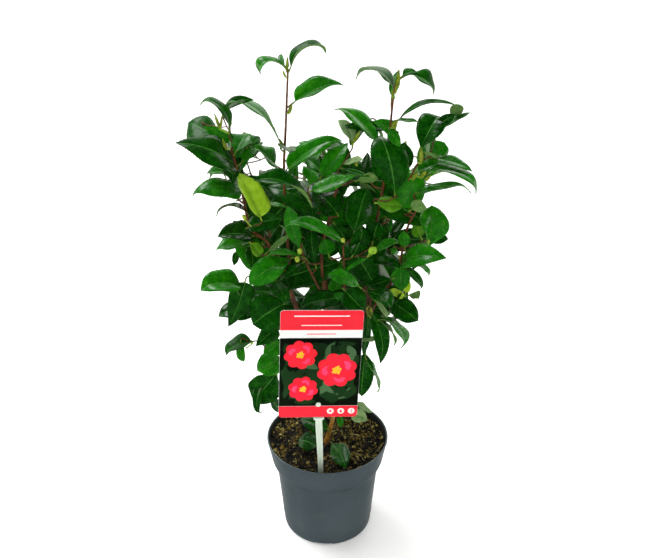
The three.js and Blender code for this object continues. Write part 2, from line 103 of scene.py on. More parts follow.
def leaf(base, tip, face, width, bend=25, fold=22, hook=20, side=0, taper=1.0, twist=0.0, phase=0.0, n=44, wave=0.05, recurve=0.22):
    """One leaf blade as a closed skin: upper grid, lower grid and a thin toothed rim.
    face is the way the upper side looks; bend is the arc along the midrib and fold the V across it, in degrees."""
    base, tip = np.asarray(base, float), np.asarray(tip, float)
    a = tip - base
    L = np.linalg.norm(a)
    a = a / L
    nrm = np.asarray(face, float)
    nrm = unit(nrm - a * nrm.dot(a))
    b = np.cross(nrm, a)
    s = np.linspace(0, 1, n + 1)
    turn = 0.80 - 0.35 * min(1.0, hook / 90)
    t = np.clip((s - turn) / (1 - turn), 0, 1)
    ang = np.radians(bend) * (0.5 - s ** 1.25) - np.radians(hook) * t * t * (3 - 2 * t)
    yaw = np.radians(side) * (s - 0.5)
    d = np.stack([np.cos(ang) * np.cos(yaw), np.cos(ang) * np.sin(yaw), np.sin(ang)], 1)
    P = np.vstack([np.zeros(3), np.cumsum((d[1:] + d[:-1]) / 2, axis=0)]) / n
    ln = np.linalg.norm(P[-1])
    ex = P[-1] / ln
    ez = unit(np.array([0, 0, 1.0]) - ex * ex[2])
    R = np.stack([ex, np.cross(ez, ex), ez])
    M = np.stack([a, b, nrm])
    P = base + (P @ R.T / ln * L) @ M
    T = (d @ R.T) @ M
    T = T / np.linalg.norm(T, axis=1)[:, None]
    B = b - T * (T @ b)[:, None]
    B = B / np.linalg.norm(B, axis=1)[:, None]
    N = np.cross(T, B)
    turn = (np.radians(twist) * (s - 0.5))[:, None]
    B, N = B * np.cos(turn) + N * np.sin(turn), N * np.cos(turn) - B * np.sin(turn)
    w = np.interp(s ** taper, OUT_S, OUT_W) * width / 2
    v = COLS[None, :]
    av = np.abs(v)
    sk, wk = s[:, None], w[:, None]
    small = min(1.0, width / 34)
    odd = (np.arange(n + 1) % 2)[:, None]
    rim = (av == 1.0) & (sk > 0.06) & (sk < 0.97)
    ww = wk + np.where(rim, np.where(odd == 1, 0.38, -0.12) * small, 0)
    f = np.radians(fold) * (1 - 0.35 * sk)
    lat = ww * v * np.cos(f * 0.9)
    hgt = ww * av * np.sin(f) - recurve * ww * av * av
    hgt = hgt + wave * width * av * av * np.sin(2 * np.pi * 1.6 * sk + phase + np.where(v > 0, 1.9, 0)) * np.minimum(1, sk * 4) * np.minimum(1, (1 - sk) * 4)
    hgt = hgt + 1.9 * av * (1 - av) * (np.cos(2 * np.pi * 8.5 * (sk - 0.15 * av) + phase) * 0.5 - 0.1) * np.minimum(1, wk / 6)
    hgt = hgt - np.where(av < 0.1, 0.22, 0)
    fwd = np.where(rim & (odd == 1), 0.25 * small, 0)
    top = P[:, None] + B[:, None] * lat[..., None] + N[:, None] * hgt[..., None] + T[:, None] * fwd[..., None]
    th = np.where(av < 0.1, 0.8, np.where(av < 0.9, 0.42, 0.2))
    und = top - N[:, None] * (th * np.ones_like(sk))[..., None]
    return top, und


class Soup:
    """Vertices and quads of many small closed skins, gathered into one mesh."""

    def __init__(self):
        self.v, self.q, self.m, self.s, self.n = [], [], [], [], 0

    def add(self, verts, quads, mats, smooth):
        self.v.append(np.asarray(verts, float))
        self.q.append(np.asarray(quads, int) + self.n)
        self.m.append(np.broadcast_to(np.asarray(mats, int), (len(quads),)))
        self.s.append(np.broadcast_to(np.asarray(smooth, bool), (len(quads),)))
        self.n += len(verts)

    def tris(self):
        return sum(len(q) for q in self.q) * 2

    def arrays(self):
        return np.vstack(self.v), np.vstack(self.q), np.concatenate(self.m), np.concatenate(self.s)


def add_leaf(soup, top, und, upper, under, rib):
    n1, m = top.shape[:2]
    V = np.vstack([top.reshape(-1, 3), und.reshape(-1, 3)])
    i, j = np.meshgrid(np.arange(n1 - 1), np.arange(m - 1), indexing="ij")
    i, j = i.ravel(), j.ravel()
    a = i * m + j
    up = np.stack([a, a + m, a + m + 1, a + 1], 1)
    o = n1 * m
    dn = np.stack([a + 1, a + m + 1, a + m, a], 1) + o
    k = np.arange(n1 - 1) * m
    e0 = np.stack([k, k + o, k + m + o, k + m], 1)
    e1 = np.stack([k + m - 1, k + 2 * m - 1, k + 2 * m - 1 + o, k + m - 1 + o], 1)
    c = np.arange(m - 1)
    s0 = np.stack([c, c + 1, c + 1 + o, c + o], 1)
    z = (n1 - 1) * m + c
    s1 = np.stack([z, z + o, z + 1 + o, z + 1], 1)
    Q = np.vstack([up, dn, e0, e1, s0, s1])
    mid = (j == m // 2 - 1)
    mats = np.concatenate([np.where(mid, rib, upper), np.where(mid, rib, under), np.full(2 * (n1 - 1) + 2 * (m - 1), under)])
    smooth = np.concatenate([np.ones(2 * len(a), bool), np.zeros(2 * (n1 - 1) + 2 * (m - 1), bool)])
    soup.add(V, Q, mats, smooth)


def rings(line, radius, sides, spin=0.0, ripple=None):
    """Rings of points round a line; radius is one number a point, ripple(t, angle) a factor."""
    P = np.asarray(line, float)
    T = np.gradient(P, axis=0)
    T = T / np.linalg.norm(T, axis=1)[:, None]
    u = unit(np.cross(T[0], [0.3, 1.0, 0.2]))
    out = []
    ang = np.linspace(0, 2 * np.pi, sides, endpoint=False) + spin
    for k in range(len(P)):
        u = unit(u - T[k] * u.dot(T[k]))
        w = np.cross(T[k], u)
        r = np.full(sides, radius[k]) if ripple is None else radius[k] * ripple(k, ang)
        out.append(P[k] + (np.cos(ang) * r)[:, None] * u + (np.sin(ang) * r)[:, None] * w)
    return np.array(out)


def add_tube(soup, grid, mat=0, cap=True):
    """A tube from rings of points, each end closed by a strip of quads across its ring when cap is set."""
    n, m = grid.shape[:2]
    V = grid.reshape(-1, 3)
    i, j = np.meshgrid(np.arange(n - 1), np.arange(m), indexing="ij")
    i, j = i.ravel(), j.ravel()
    jn = (j + 1) % m
    Q = np.stack([i * m + j, i * m + jn, (i + 1) * m + jn, (i + 1) * m + j], 1)
    if cap:  # each end is closed by a strip of quads across its even-sided ring
        k = np.arange(m // 2 - 1)
        ends = np.stack([k, k + 1, m - 2 - k, m - 1 - k], 1)
        Q = np.vstack([Q, ends[:, ::-1], ends + (n - 1) * m])
    soup.add(V, Q, mat, True)


# --- the stems as lines ------------------------------------------------------
def limb_lines(step=4.0):
    """name -> (points, radius at each): every limb as an even line."""
    out = {}
    for name, (parent, r0, r1, path) in LIMBS.items():
        line, length = even(catmull(path, 12), step)
        out[name] = (line, np.linspace(r0, r1, len(line)))
    return out


class Stems:
    """Every point that a new twig may grow from."""

    def __init__(self):
        self.p, self.r = [], []
        self.bare = set()
        for line, rad in limb_lines().values():
            self.p.extend(line[1:])
            self.r.extend(rad[1:])
        self.twigs = []

    def nearest(self, at, above=0.0):
        """The stem point a twig to `at` would leave from: close by, and not above it."""
        P = np.array(self.p)
        d = P - at
        cost = np.linalg.norm(d, axis=1) + 1.6 * np.maximum(0, d[:, 2] + 4 - above) + 0.35 * np.abs(d[:, 1])
        k = int(np.argmin(cost))
        return P[k], self.r[k], float(np.linalg.norm(d[k]))

    def grow(self, start, end, aim, r0, r1, rnd, lift=0.16, sway=0.25):
        """A twig from a stem point to its end, arriving along `aim`; its points can be grown from in turn."""
        L = np.linalg.norm(end - start)
        mid = start + (end - start) * 0.45 + np.array([0, 0, -lift * L * 0.5])
        near = end - unit(aim) * L * 0.15
        pts = [start, mid, near, end] if L > 14 else [start, (start + end) / 2 + np.array([0, 0, -0.04 * L]), end]
        line, _ = even(catmull(pts, 10), 2.6)
        k = np.arange(len(line))
        fade = np.sin(np.pi * np.linspace(0, 1, len(line)))[:, None]
        line = line + fade * sway * np.stack([np.sin(k * 0.9 + rnd.rand() * 6), np.sin(k * 0.7 + rnd.rand() * 6), np.sin(k * 1.1 + rnd.rand() * 6)], 1) * min(1, L / 30)
        rad = np.linspace(r0, r1, len(line))
        self.p.extend(line[2:])
        self.r.extend(rad[2:])
        self.twigs.append((line, rad))
        return line, rad


# --- sprays that grow by rule ------------------------------------------------
# For each foliage mass: how many shoots grow in it, leaves on a shoot, which
# side of it they fill (a direction, or None for all round) and its seed.
SHOOTS = {
    "foliage_left_leader_top": (0, 0, None, 11),
    "foliage_left_leader_low": (0, 0, None, 12),
    "foliage_upper_left": (10, 6, (0, 1, 0), 13),
    "foliage_left_side": (8, 6, (0, 1, 0), 14),
    "foliage_left_waist": (6, 6, (0.2, 1, 0), 15),
    "foliage_left_low": (8, 6, (0.3, 1, 0), 16),
    "foliage_left_inner": (6, 6, (0.2, 1, 0), 17),
    "foliage_left_sprig": (3, 4, (0.4, 1, 0), 18),
    "foliage_left_foot": (6, 6, (0, 1, 0), 19),
    "foliage_centre_left": (8, 6, (0, 1, 0), 20),
    "foliage_centre_top": (10, 6, (0, 1, 0), 21),
    "foliage_centre_high": (5, 6, (0, 1, 0), 22),
    "foliage_right_leader_top": (0, 0, None, 23),
    "foliage_right_leader_mid": (0, 0, None, 24),
    "foliage_right_inner_top": (6, 6, (0, 1, 0), 25),
    "foliage_right_upper": (10, 6, (0, 1, 0), 26),
    "foliage_right_side": (6, 6, (0, 1, 0), 27),
    "foliage_right_low": (8, 6, (0, 1, 0), 28),
    "foliage_right_inner": (10, 6, (0, 1, 0), 29),
    "foliage_centre_front": (8, 6, (0, 1, 0), 30),
    "foliage_right_low_inner": (6, 6, (0, 1, 0), 31),
    "foliage_right_hanging": (5, 5, (0, 1, 0), 32),
    "foliage_label_side": (5, 5, (0, 1, 0), 33),
    "foliage_centre_low": (6, 5, (0, 1, 0), 34),
    "foliage_back_left": (19, 8, None, 35),
    "foliage_back_left_low": (13, 8, None, 36),
    "foliage_back_top": (17, 8, None, 37),
    "foliage_back_low": (13, 8, None, 38),
    "foliage_back_right": (19, 8, None, 39),
    "foliage_back_right_low": (13, 8, None, 40),
}


def midrib_points(top):
    k = top.shape[1] // 2
    return (top[:, k - 1] + top[:, k]) / 2


# how much further back (mm) the shoots of a front mass may reach, so that the crown closes behind it
DEEP = {"foliage_left_inner": 55, "foliage_left_foot": 35, "foliage_centre_low": 60,
        "foliage_right_low_inner": 55, "foliage_right_hanging": 45, "foliage_label_side": 50,
        "foliage_right_inner": 45, "foliage_centre_front": 50}


def spray_rule(stems, taken, name, lo, hi, pruned, room=5.0):
    """Shoots of one foliage mass: each grows from the nearest stem towards a point of the mass, and carries
    leaves in turn round it, a golden angle apart, with a pair and a bud at its tip."""
    shoots, per, side, seed = SHOOTS[name]
    rnd = np.random.RandomState(seed)
    if name in DEEP:
        hi = hi + np.array([0.0, DEEP[name], 0.0])
    c, h = (lo + hi) / 2, (hi - lo) / 2
    out, buds = [], []
    for k in range(shoots):
        z = 1 - 2 * (k + 0.5) / shoots
        phi = k * 2.399963 + seed
        d = np.array([np.sqrt(1 - z * z) * np.cos(phi), np.sqrt(1 - z * z) * np.sin(phi), z * 0.9])
        if side is not None:
            s = unit(side)
            if d.dot(s) < 0.05:
                d = d - 2 * s * d.dot(s) + 0.1 * s
            d = unit(d + 0.35 * s)
        goal = c + h * d * (0.62 + 0.12 * rnd.rand())
        start, r, far = stems.nearest(goal)
        if far < 18:
            goal = start + unit(goal - start + 1e-3 + d * 12) * 24
        aim = unit(unit(goal - start) + np.array([0, 0, 0.35]) + d * 0.4)
        line, rad = stems.grow(start, goal, aim, min(1.15, r * 0.85), 0.8, rnd)
        if (name, "twig", k) in pruned:
            stems.bare.add(len(stems.twigs) - 1)
        length = np.linalg.norm(np.diff(line, axis=0), axis=1).sum()
        spin = rnd.rand() * 6.28
        T = np.gradient(line, axis=0)
        used = min(per, max(2, int(length * 0.75 / 9) + 2))
        for j in range(used):
            u = 1.0 if j < 2 else 1 - (j - 1) * min(0.7, 12.0 * (used - 2) / length) / max(1, used - 2)
            at = int(round(u * (len(line) - 1)))
            p, t = line[at], unit(T[at])
            e1 = unit(np.cross(t, [0.2, 0.1, 1.0]))
            e2 = np.cross(t, e1)
            kind = "dddddmmmbb"[int(rnd.rand() * 9.99)] if j < 2 else "ddddddmmmd"[int(rnd.rand() * 9.99)]
            drop, form = rnd.rand(), rnd.rand(6)
            for go in range(7):  # a leaf turns about its twig until it has room
                a = spin + j * (np.pi if j < 2 else 2.399963) + (0, 0.5, -0.5, 1.1, -1.1, 1.8, 2.6)[go]
                ring = e1 * np.cos(a) + e2 * np.sin(a)
                size = (50 + 20 * form[0]) * (1 - 0.04 * go)
                away = unit(p - c + 1e-3) * 0.25
                d = unit(ring * 0.85 + t * (0.7 if j < 2 else 0.35) + away + np.array([0, 0, -0.05 - 0.3 * drop]))
                base = p + unit(ring + t * 0.5) * 6.0
                tip = base + d * size - np.array([0, 0, 0.10 * size])
                q = (tip - c) / (h * 1.1 + 14)
                if q.dot(q) > 1:
                    continue
                up = unit(np.array([0.0, 0.0, 1.0]) + 0.3 * ring + 0.15 * unit(tip - c))
                ax = unit(tip - base)
                up = unit(up - ax * up.dot(ax))
                roll = (form[1] - 0.5) * 0.9
                up = up * np.cos(roll) + np.cross(ax, up) * np.sin(roll)
                top, und = leaf(base, tip, up, size * (0.43 + 0.07 * form[2]), 18 + 26 * form[3], 16 + 16 * form[4], 10 + 24 * form[5], (drop - 0.5) * 16, 1.0, 0.0, j * 1.7, n=30)
                mid = midrib_points(top)[5:-1:4]
                if len(taken) and np.min(np.linalg.norm(np.concatenate(taken)[:, None] - mid[None], axis=2)) < room:
                    continue
                if (name, k, j) not in pruned:
                    out.append(dict(id=(name, k, j), mass=name, kind=kind, base=base, tip=tip, top=top, und=und, stalk=p))
                taken.append(mid)
                break
        if used and (name, "twig", k) not in pruned:
            buds.append((line[-1], line[-1] + unit(T[-1]) * 8, 1.5, "leaf"))
    return out, buds


def placed_sprays(stems, rows):
    """The outer sprays, leaf by leaf; each leaf's stalk and twig grow to it from the nearest stem."""
    out = []
    P = np.array(stems.p)
    order = sorted(range(len(rows)), key=lambda k: np.min(np.linalg.norm(P - np.array(rows[k][2]), axis=1)))
    rnd = np.random.RandomState(5)
    for k in order:
        mass, kind, base, tip, face, width, bend, fold, hook, swing, taper, twist = rows[k]
        base, tip = np.array(base, float), np.array(tip, float)
        top, und = leaf(base, tip, face, width, bend, fold, hook, swing, taper, twist, (k * 2.3) % 6.28, n=48)
        mid = midrib_points(top)
        lead = unit(mid[3] - mid[0])
        foot = base - lead * 4.0
        start, r, far = stems.nearest(foot)
        if far > 7:
            line, rad = stems.grow(start, foot, unit(lead + unit(foot - start)), min(1.05, r * 0.85), 0.75, rnd)
            start = line[-1]
        out.append(dict(id=k, mass=mass, kind=kind, base=base, tip=tip, top=top, und=und, stalk=start))
    return out


def grow_plant(rows, boxes, pruned=frozenset()):
    """All leaves, twigs and buds. boxes: name -> (low, high) of each foliage mass, millimetres."""
    stems = Stems()
    leaves = placed_sprays(stems, rows)
    taken = [midrib_points(l["top"])[4:-2:6] for l in leaves]
    buds = []
    for name in SHOOTS:
        lo, hi = (np.round(np.array(c, float)) for c in boxes[name])
        more, b = spray_rule(stems, taken, name, lo, hi, pruned)
        leaves += more
        buds += b
    # a twig that was left out comes back where another twig grows from it
    bare, again = set(stems.bare), True
    while again:
        feet = np.array([t[0][0] for k, t in enumerate(stems.twigs) if k not in bare] + [l["stalk"] for l in leaves])
        held = {k for k in bare if np.min(np.linalg.norm(stems.twigs[k][0][2:, None] - feet[None], axis=2)) < 0.05}
        bare -= held
        again = bool(held)
    stems.twigs = [t for k, t in enumerate(stems.twigs) if k not in bare]
    return leaves, stems, buds

# Outer sprays, one line a leaf: kind, foot of the blade, its tip, the way its upper side
# looks, width, arc, fold, hook of the tip, swing, taper, twist. Millimetres and degrees.
OUTER = {
    "foliage_left_leader_top": [
        ("m", (-41, 0, 584.9), (-65.6, -13, 582), (0.018, -0.25, 0.968), 18.8, 96.6, 33.6, 71.5, 2.4, 1.65, 20.9),
        ("m", (-42.3, 1, 586.9), (-46.9, 15.2, 595.3), (-0.503, -0.554, 0.663), 6.9, 26.6, 39.9, 36.6, -3.4, 1.11, 13.8),
        ("k", (-36.1, 0, 586.9), (-1.1, 9.4, 597.7), (-0.269, -0.094, 0.958), 22.7, 114.5, 41.2, 28, -14.3, 1.11, -9.8),
    ],
    "foliage_left_leader_mid": [
        ("m", (-32.4, 0, 551.7), (16.3, 2.1, 567.6), (-0.262, -0.436, 0.861), 31.2, 36.3, 43.4, 27.9, -0.7, 0.73, 2.2),
    ],
    "foliage_left_leader_low": [
        ("m", (-49.6, 0, 510.5), (-101.1, 0.1, 550), (0.608, -0.024, 0.793), 26, 54.6, 24.5, 31.3, 19.7, 1.29, -9.3),
    ],
    "foliage_upper_left": [
        ("k", (-100.4, -6, 523.3), (-128.5, -7.3, 549.8), (0.675, -0.223, 0.704), 19.5, 122.5, 25.4, 36.7, -17.6, 1.16, 15.7),
        ("k", (-102.8, 6, 511.5), (-148, 28.9, 520.8), (-0.033, -0.434, 0.901), 33.9, 8.1, 7.3, 30.6, -38.2, 1.72, -44.6),
        ("d", (-93, -8, 484.2), (-152.3, -27.5, 516.8), (0.54, -0.447, 0.713), 39.5, 66.3, 16.6, 0.8, -7.9, 0.79, -16.5),
        ("m", (-93.8, -12, 502.9), (-85.8, 14.8, 513.5), (-0, -0.367, 0.93), 28.9, 8.1, 36.6, 16.8, 3.8, 1.07, -16.7),
        ("k", (-82.5, 6, 502.4), (-71.6, 24.4, 506.6), (0.434, -0.441, 0.786), 11.2, 18.1, 21.6, 9.1, -3.4, 1.29, -6.6),
        ("m", (-87.4, -8, 491.2), (-77.4, 10, 499.6), (0.047, -0.446, 0.894), 16.7, 22.2, 25.9, 32.5, -2.8, 1.24, 14),
        ("m", (-97.3, -6, 475.6), (-124.3, -19.7, 481.5), (0.246, -0.071, 0.967), 20.2, 31.8, 20.2, 25.5, -6.7, 0.88, -16.6),
        ("m", (-102.9, 2.9, 472.8), (-83.5, 11.2, 507.6), (0.146, -0.978, 0.151), 21.1, 15.6, 26, 25.4, 1.3, 1.04, -2.3),
        ("m", (-94.7, 3.1, 509.6), (-127.6, 0.2, 526.2), (0.151, -0.98, 0.129), 13.3, 4.5, 15, 13.1, -15.7, 0.97, 22.4),
        ("d", (-106.6, 14, 538.2), (-72.4, -10.1, 555.3), (-0.614, -0.778, 0.132), 10.6, 14.2, 27, 17.6, -50, 0.97, 17.6),
    ],
    "foliage_left_side": [
        ("m", (-89.8, -16, 460.9), (-140.3, -24.7, 457.9), (0.019, -0.421, 0.907), 29.4, 44.5, 7.3, 58.1, 0.8, 0.6, -2.8),
        ("d", (-83.7, -18, 435.3), (-115.6, -34.1, 439.7), (0.085, 0.102, 0.991), 15.3, 115.1, 20.8, 19.5, -8.9, 0.86, 41.2),
        ("y", (-69.2, -36, 439.5), (-94.2, -14.7, 481.6), (0.529, -0.588, 0.611), 35.8, 21.7, 45, 18.1, -4.2, 0.62, -28.6),
        ("d", (-82.8, -30, 425.6), (-45.4, -21.4, 432.4), (0.15, -0.927, 0.344), 19.5, 49.9, 29.4, 65.7, -31.9, 0.63, 64.8),
    ],
    "foliage_left_waist": [
        ("d", (-81.7, -18, 410.9), (-115.8, -33.4, 415.9), (0.297, -0.373, 0.879), 32, 43.5, 34.7, 15, -1.3, 0.77, 10.8),
        ("m", (-83.4, -20, 403.8), (-118.2, -33.7, 400.7), (0.036, -0.311, 0.95), 24.2, 26.9, 31.5, 22, 3.1, 0.96, 13.4),
        ("b", (-81.4, -28, 405.9), (-72.4, -26.6, 390.3), (0.616, -0.732, 0.29), 15.1, 32.9, 26.8, 48, -4.1, 1.06, 7.6),
        ("d", (-84.1, -10, 393.8), (-81.1, -29.2, 376.9), (0.138, -0.642, 0.754), 15.4, 17.7, 20.8, 8.3, -22.1, 0.93, 22.8),
        ("d", (-80.5, -12, 397.6), (-94.2, -2.4, 408.7), (0.175, -0.626, 0.76), 19.3, 17.4, 24.5, 20.9, 0.2, 1.01, 1.5),
        ("d", (-101.3, 2, 381.7), (-103.9, -5.3, 368), (0.28, -0.869, 0.408), 8.6, 36.8, 27.5, 14.1, -2.9, 0.85, -4),
        ("l", (-64.7, -24, 393.5), (-40.2, -19.2, 412.2), (-0.082, 0.986, -0.146), 7, 10, 9.6, 5.7, -1.5, 1.36, -2.2),
        ("m", (-97.1, 4.9, 403.3), (-79.3, -1.3, 355.6), (0.532, -0.791, 0.302), 36, 28.3, 27.2, 14.9, -22.3, 0.98, -25.8),
        ("d", (-71.2, -6.9, 396.9), (-91.2, 18.3, 439.9), (0.209, -0.798, 0.565), 15.8, 54.2, 25.8, 10.9, -2.9, 1.01, 0.3),
        ("d", (-46.5, 28.7, 407), (-65.8, 29, 368.9), (-0.09, -0.995, 0.038), 14.9, 25.5, 21.4, 24.9, -1.5, 1.01, 3.1),
        ("m", (-93.2, 13, 411.4), (-63.3, 10.1, 362.3), (0.306, -0.921, 0.24), 16, 14.9, 18.3, 24.8, 17.9, 0.93, -3.7),
    ],
    "foliage_left_low": [
        ("m", (-95.6, -24, 353.2), (-136.6, -42.6, 356.2), (0.242, -0.392, 0.887), 36.5, 46.5, 34.3, 45.1, 10.9, 0.85, -15.9),
        ("k", (-90.3, -24, 357.1), (-110, -38.1, 308.9), (0.205, -0.959, 0.197), 30.6, 4.9, 27.8, 21.9, -14.8, 0.61, 0.2),
        ("d", (-80.4, -14, 314.3), (-121.9, -25.6, 314.4), (0.116, -0.415, 0.902), 31, 45.8, 21.1, 40.3, 11.1, 0.93, -3.1),
    ],
    "foliage_left_inner": [
        ("d", (-57, -26, 359.9), (-42.4, -46.5, 340.2), (0.057, -0.671, 0.739), 20.8, 33.5, 16.7, 82.2, 15.2, 0.6, 37.9),
        ("d", (-47.1, -36, 336.4), (-82, -41.9, 313.7), (-0.126, -0.896, 0.426), 48.1, 20.5, 23.1, 19.5, 16.9, 1.22, 1.4),
        ("d", (-56.9, -30, 302.9), (-80.4, -37.6, 282.9), (-0.062, -0.907, 0.416), 21.6, 18.3, 19.7, 8.3, 4.4, 0.6, -4.7),
        ("d", (13.9, 3.9, 367.6), (-71.1, 13.5, 332.9), (-0.298, -0.81, 0.505), 36, 47.6, 19.1, 14.3, 0.4, 0.96, 36.1),
        ("d", (-22, 38.9, 299.3), (-100.1, 29.8, 315.2), (0.223, -0.275, 0.935), 36, 49.6, 23.1, 10, -17.1, 1.09, -13.5),
    ],
    "foliage_left_sprig": [
        ("k", (-85.7, -34, 287.2), (-113.9, -39.4, 271.7), (-0.423, -0.268, 0.866), 26.9, 46.5, 33.6, 45.2, 2.3, 0.73, -13.1),
        ("m", (-97.2, -38, 287.6), (-94.3, -43.4, 266.2), (-0.167, -0.961, 0.22), 10.8, 51.8, 23.9, 37, 9.5, 1.07, 11.3),
    ],
    "foliage_left_foot": [
        ("m", (-50.9, -30, 285.6), (-72.2, -33.9, 267.7), (-0.275, -0.818, 0.504), 22.2, 19.4, 23.5, 18.8, 0.3, 0.94, -7.9),
        ("m", (-53.5, -32, 264), (-80, -37.7, 250), (-0.146, -0.79, 0.596), 30.5, 30.3, 24.6, 36.9, -13.6, 0.82, -19.7),
        ("d", (-58.8, -32, 241.4), (-86.3, -34.5, 203), (-0.138, -0.977, 0.163), 40, 4.9, 29, 5.7, 9.5, 1.12, 38.6),
        ("d", (-75.7, -26, 232.5), (-76.8, -34.6, 190.4), (-0.417, -0.888, 0.193), 12.5, 64.1, 25.6, 59.4, 7.1, 0.78, -7.3),
        ("d", (-66, -34, 208.9), (-54.5, -35.7, 190.3), (0.526, -0.753, 0.396), 13.4, 26.1, 21.3, 29.9, -4.5, 1.06, 3.7),
    ],
    "foliage_centre_left": [
        ("d", (-48.4, 0, 502.1), (-37.1, -29.6, 506.2), (0.274, 0.234, 0.933), 19.7, 41.3, 25.9, 12.5, -12.7, 1.1, 15.2),
        ("m", (-55.1, 4, 483.2), (-79.3, -3.9, 504.5), (0.684, -0.233, 0.691), 30.6, 27.1, 32.7, 40, -30.7, 0.61, 0.1),
        ("d", (-14.9, -24, 444.2), (-74.3, -34.2, 479.1), (0.521, -0.172, 0.836), 26.2, 92.8, 47.2, 3.8, -14.5, 1.64, -56.4),
        ("d", (-75.1, -2, 406.9), (-26.9, 9.2, 455.8), (-0.284, -0.835, 0.471), 31.9, -5, 26.7, 15.5, 2.1, 1.29, -21.7),
        ("m", (-40.1, 27.7, 446.1), (-42.8, 48.2, 486), (0.585, -0.705, 0.401), 14.2, 6.6, 21.8, 27, 32.8, 0.91, 1.9),
        ("d", (-49.3, 23.6, 425.1), (-88.2, 25.4, 462.7), (0.566, -0.553, 0.612), 23.4, 19.3, 19.8, 26, 11.6, 0.95, -11.3),
    ],
    "foliage_centre_top": [
        ("m", (-41.8, 2, 479.5), (15.9, 10.7, 506.6), (-0.246, -0.639, 0.728), 25.9, 41.1, 32.9, 35.3, -11.3, 0.65, 28.1),
        ("m", (-5.7, -12, 475.9), (21.9, 8.8, 505.3), (-0.097, -0.767, 0.635), 22.5, 22.5, 34, 13.3, 3.5, 0.91, -27.2),
        ("k", (-7.6, 10, 473.5), (-23.3, 30.5, 480.6), (-0.401, -0.558, 0.727), 14.1, 38.1, 24.2, 0.7, 14.7, 0.85, -9.7),
        ("m", (-18.8, -10, 465.1), (-20.9, 12.4, 473.3), (0.422, -0.278, 0.863), 21.7, 38, 15, 62.6, 29.9, 1.53, 23.7),
        ("m", (-15.4, -30, 466.6), (31.7, -17.1, 479.8), (-0.123, -0.452, 0.884), 19.5, 6.2, 22.2, 9.3, 6.9, 0.76, -4.1),
        ("d", (10.2, -10, 433.2), (-12.7, 9.3, 449.4), (0.146, -0.526, 0.838), 35.6, 70.3, 28.9, 10.7, -15.4, 0.82, 36.6),
        ("l", (17.6, 4, 484.5), (37.3, -19.8, 495.7), (-0.523, -0.03, 0.852), 13.9, 31.2, 18.7, 6.8, 18.7, 1.22, -15.7),
        ("m", (16.6, 0, 479.7), (45.5, -2.4, 471.6), (0.183, -0.541, 0.821), 7.6, -3.1, 23.4, 2.7, 7.2, 1.03, 17),
        ("d", (-0.9, 10, 498.1), (13.4, 20, 500.1), (-0.032, -0.153, 0.988), 13.5, 13.2, 18.2, 20, 8.5, 1.12, -3.6),
        ("d", (-19.7, 4, 399.2), (-17.4, 27.2, 442), (0.046, -0.879, 0.474), 23.7, 34.9, 24.1, 49, -1.7, 1.32, -1.6),
        ("d", (72.7, 46, 447.3), (-13.3, 46.2, 455.4), (0.072, -0.624, 0.778), 34.4, 59.6, 22.8, 20.7, -16.7, 1.05, -5.8),
        ("d", (14.1, 15.8, 437.7), (-64.9, 17.3, 453.1), (0.127, -0.682, 0.72), 36, 30.2, 14.8, 18.2, -41.5, 1.05, 26.4),
        ("d", (-1.5, 13.9, 434), (27.9, 17.7, 466.8), (-0.445, -0.752, 0.486), 24, 12.1, 19.6, 22.3, -15.2, 1.03, 3.8),
    ],
    "foliage_centre_high": [
        ("m", (51.1, 6, 509.2), (7.3, 22.2, 536.9), (0.404, -0.351, 0.845), 27.5, 26.6, 25.6, 36.4, 18.3, 0.77, 3.3),
        ("l", (25.7, 6, 506.3), (11.5, 22.5, 525.5), (0.335, -0.58, 0.743), 16.6, 54.4, 28.4, 3.6, 25, 1.18, -14.6),
        ("d", (43.2, 28.5, 522), (24.7, 39.1, 492.1), (-0.658, -0.739, 0.146), 12.9, 23.5, 24.6, 15.4, 11.1, 1.03, -34),
        ("d", (65.3, 24, 515.3), (14.8, 16.9, 518.9), (0.152, -0.778, 0.609), 12.4, 37.2, 29.4, 27.6, -0.5, 0.95, -18.5),
    ],
    "foliage_right_leader_top": [
        ("k", (67.2, 2, 564.5), (28.2, -3.4, 574.4), (0.248, -0.019, 0.969), 33.7, 106.9, 20.4, 31.1, 43.8, 0.88, 39.9),
        ("k", (83.4, 2, 578.8), (108.4, 4, 557.8), (0.619, -0.351, 0.702), 28.6, 68.6, 33.5, 13.7, -2.9, 1.38, -8.2),
        ("k", (75.7, 1, 577.7), (88.6, -7.6, 583.3), (-0.601, -0.495, 0.628), 10.7, 51.6, 24.9, 19, -4.3, 0.69, -7),
        ("m", (67.4, 24.1, 550.1), (74.2, 34.6, 575), (0.498, -0.839, 0.218), 12.1, -5.7, 20.8, 20, -19.3, 1.09, 19.3),
    ],
    "foliage_right_leader_mid": [
        ("k", (74.9, 2, 533.6), (131.7, -9.9, 548.7), (-0.307, -0.331, 0.892), 9.9, 84.5, 21.5, 1.4, -11.1, 0.76, 10.8),
        ("m", (70.7, 2, 531.4), (92.8, -10.1, 533.2), (-0.14, -0.111, 0.984), 10.1, 20.9, 22.9, 3, 13.8, 1.09, 4),
        ("m", (70.7, 2, 520.5), (46.8, 5.5, 529.7), (0.165, -0.696, 0.699), 17.3, 17.8, 24.6, 6.8, 3.8, 0.6, 24.7),
        ("m", (64, 0, 522.9), (75.2, -8.9, 506.6), (-0.012, -0.882, 0.472), 12.1, 39.3, 21.7, 23.3, 13.6, 0.99, 11.6),
        ("d", (96.7, -6, 503.8), (118.1, 15.8, 531.3), (-0.256, -0.651, 0.714), 32.7, 26.7, 33.9, 50.4, 0.8, 1.41, -9.2),
        ("k", (118.2, 8, 518.5), (147.1, 6.3, 538.3), (-0.566, -0.104, 0.818), 12.8, 25.8, 23.1, 0.4, 6.1, 1.1, 44.9),
        ("m", (126.9, 6, 532.6), (138.7, 3.9, 545.4), (-0.035, 0.981, 0.192), 14.4, 64.1, 25.8, 19.8, 3.7, 1.46, 4.7),
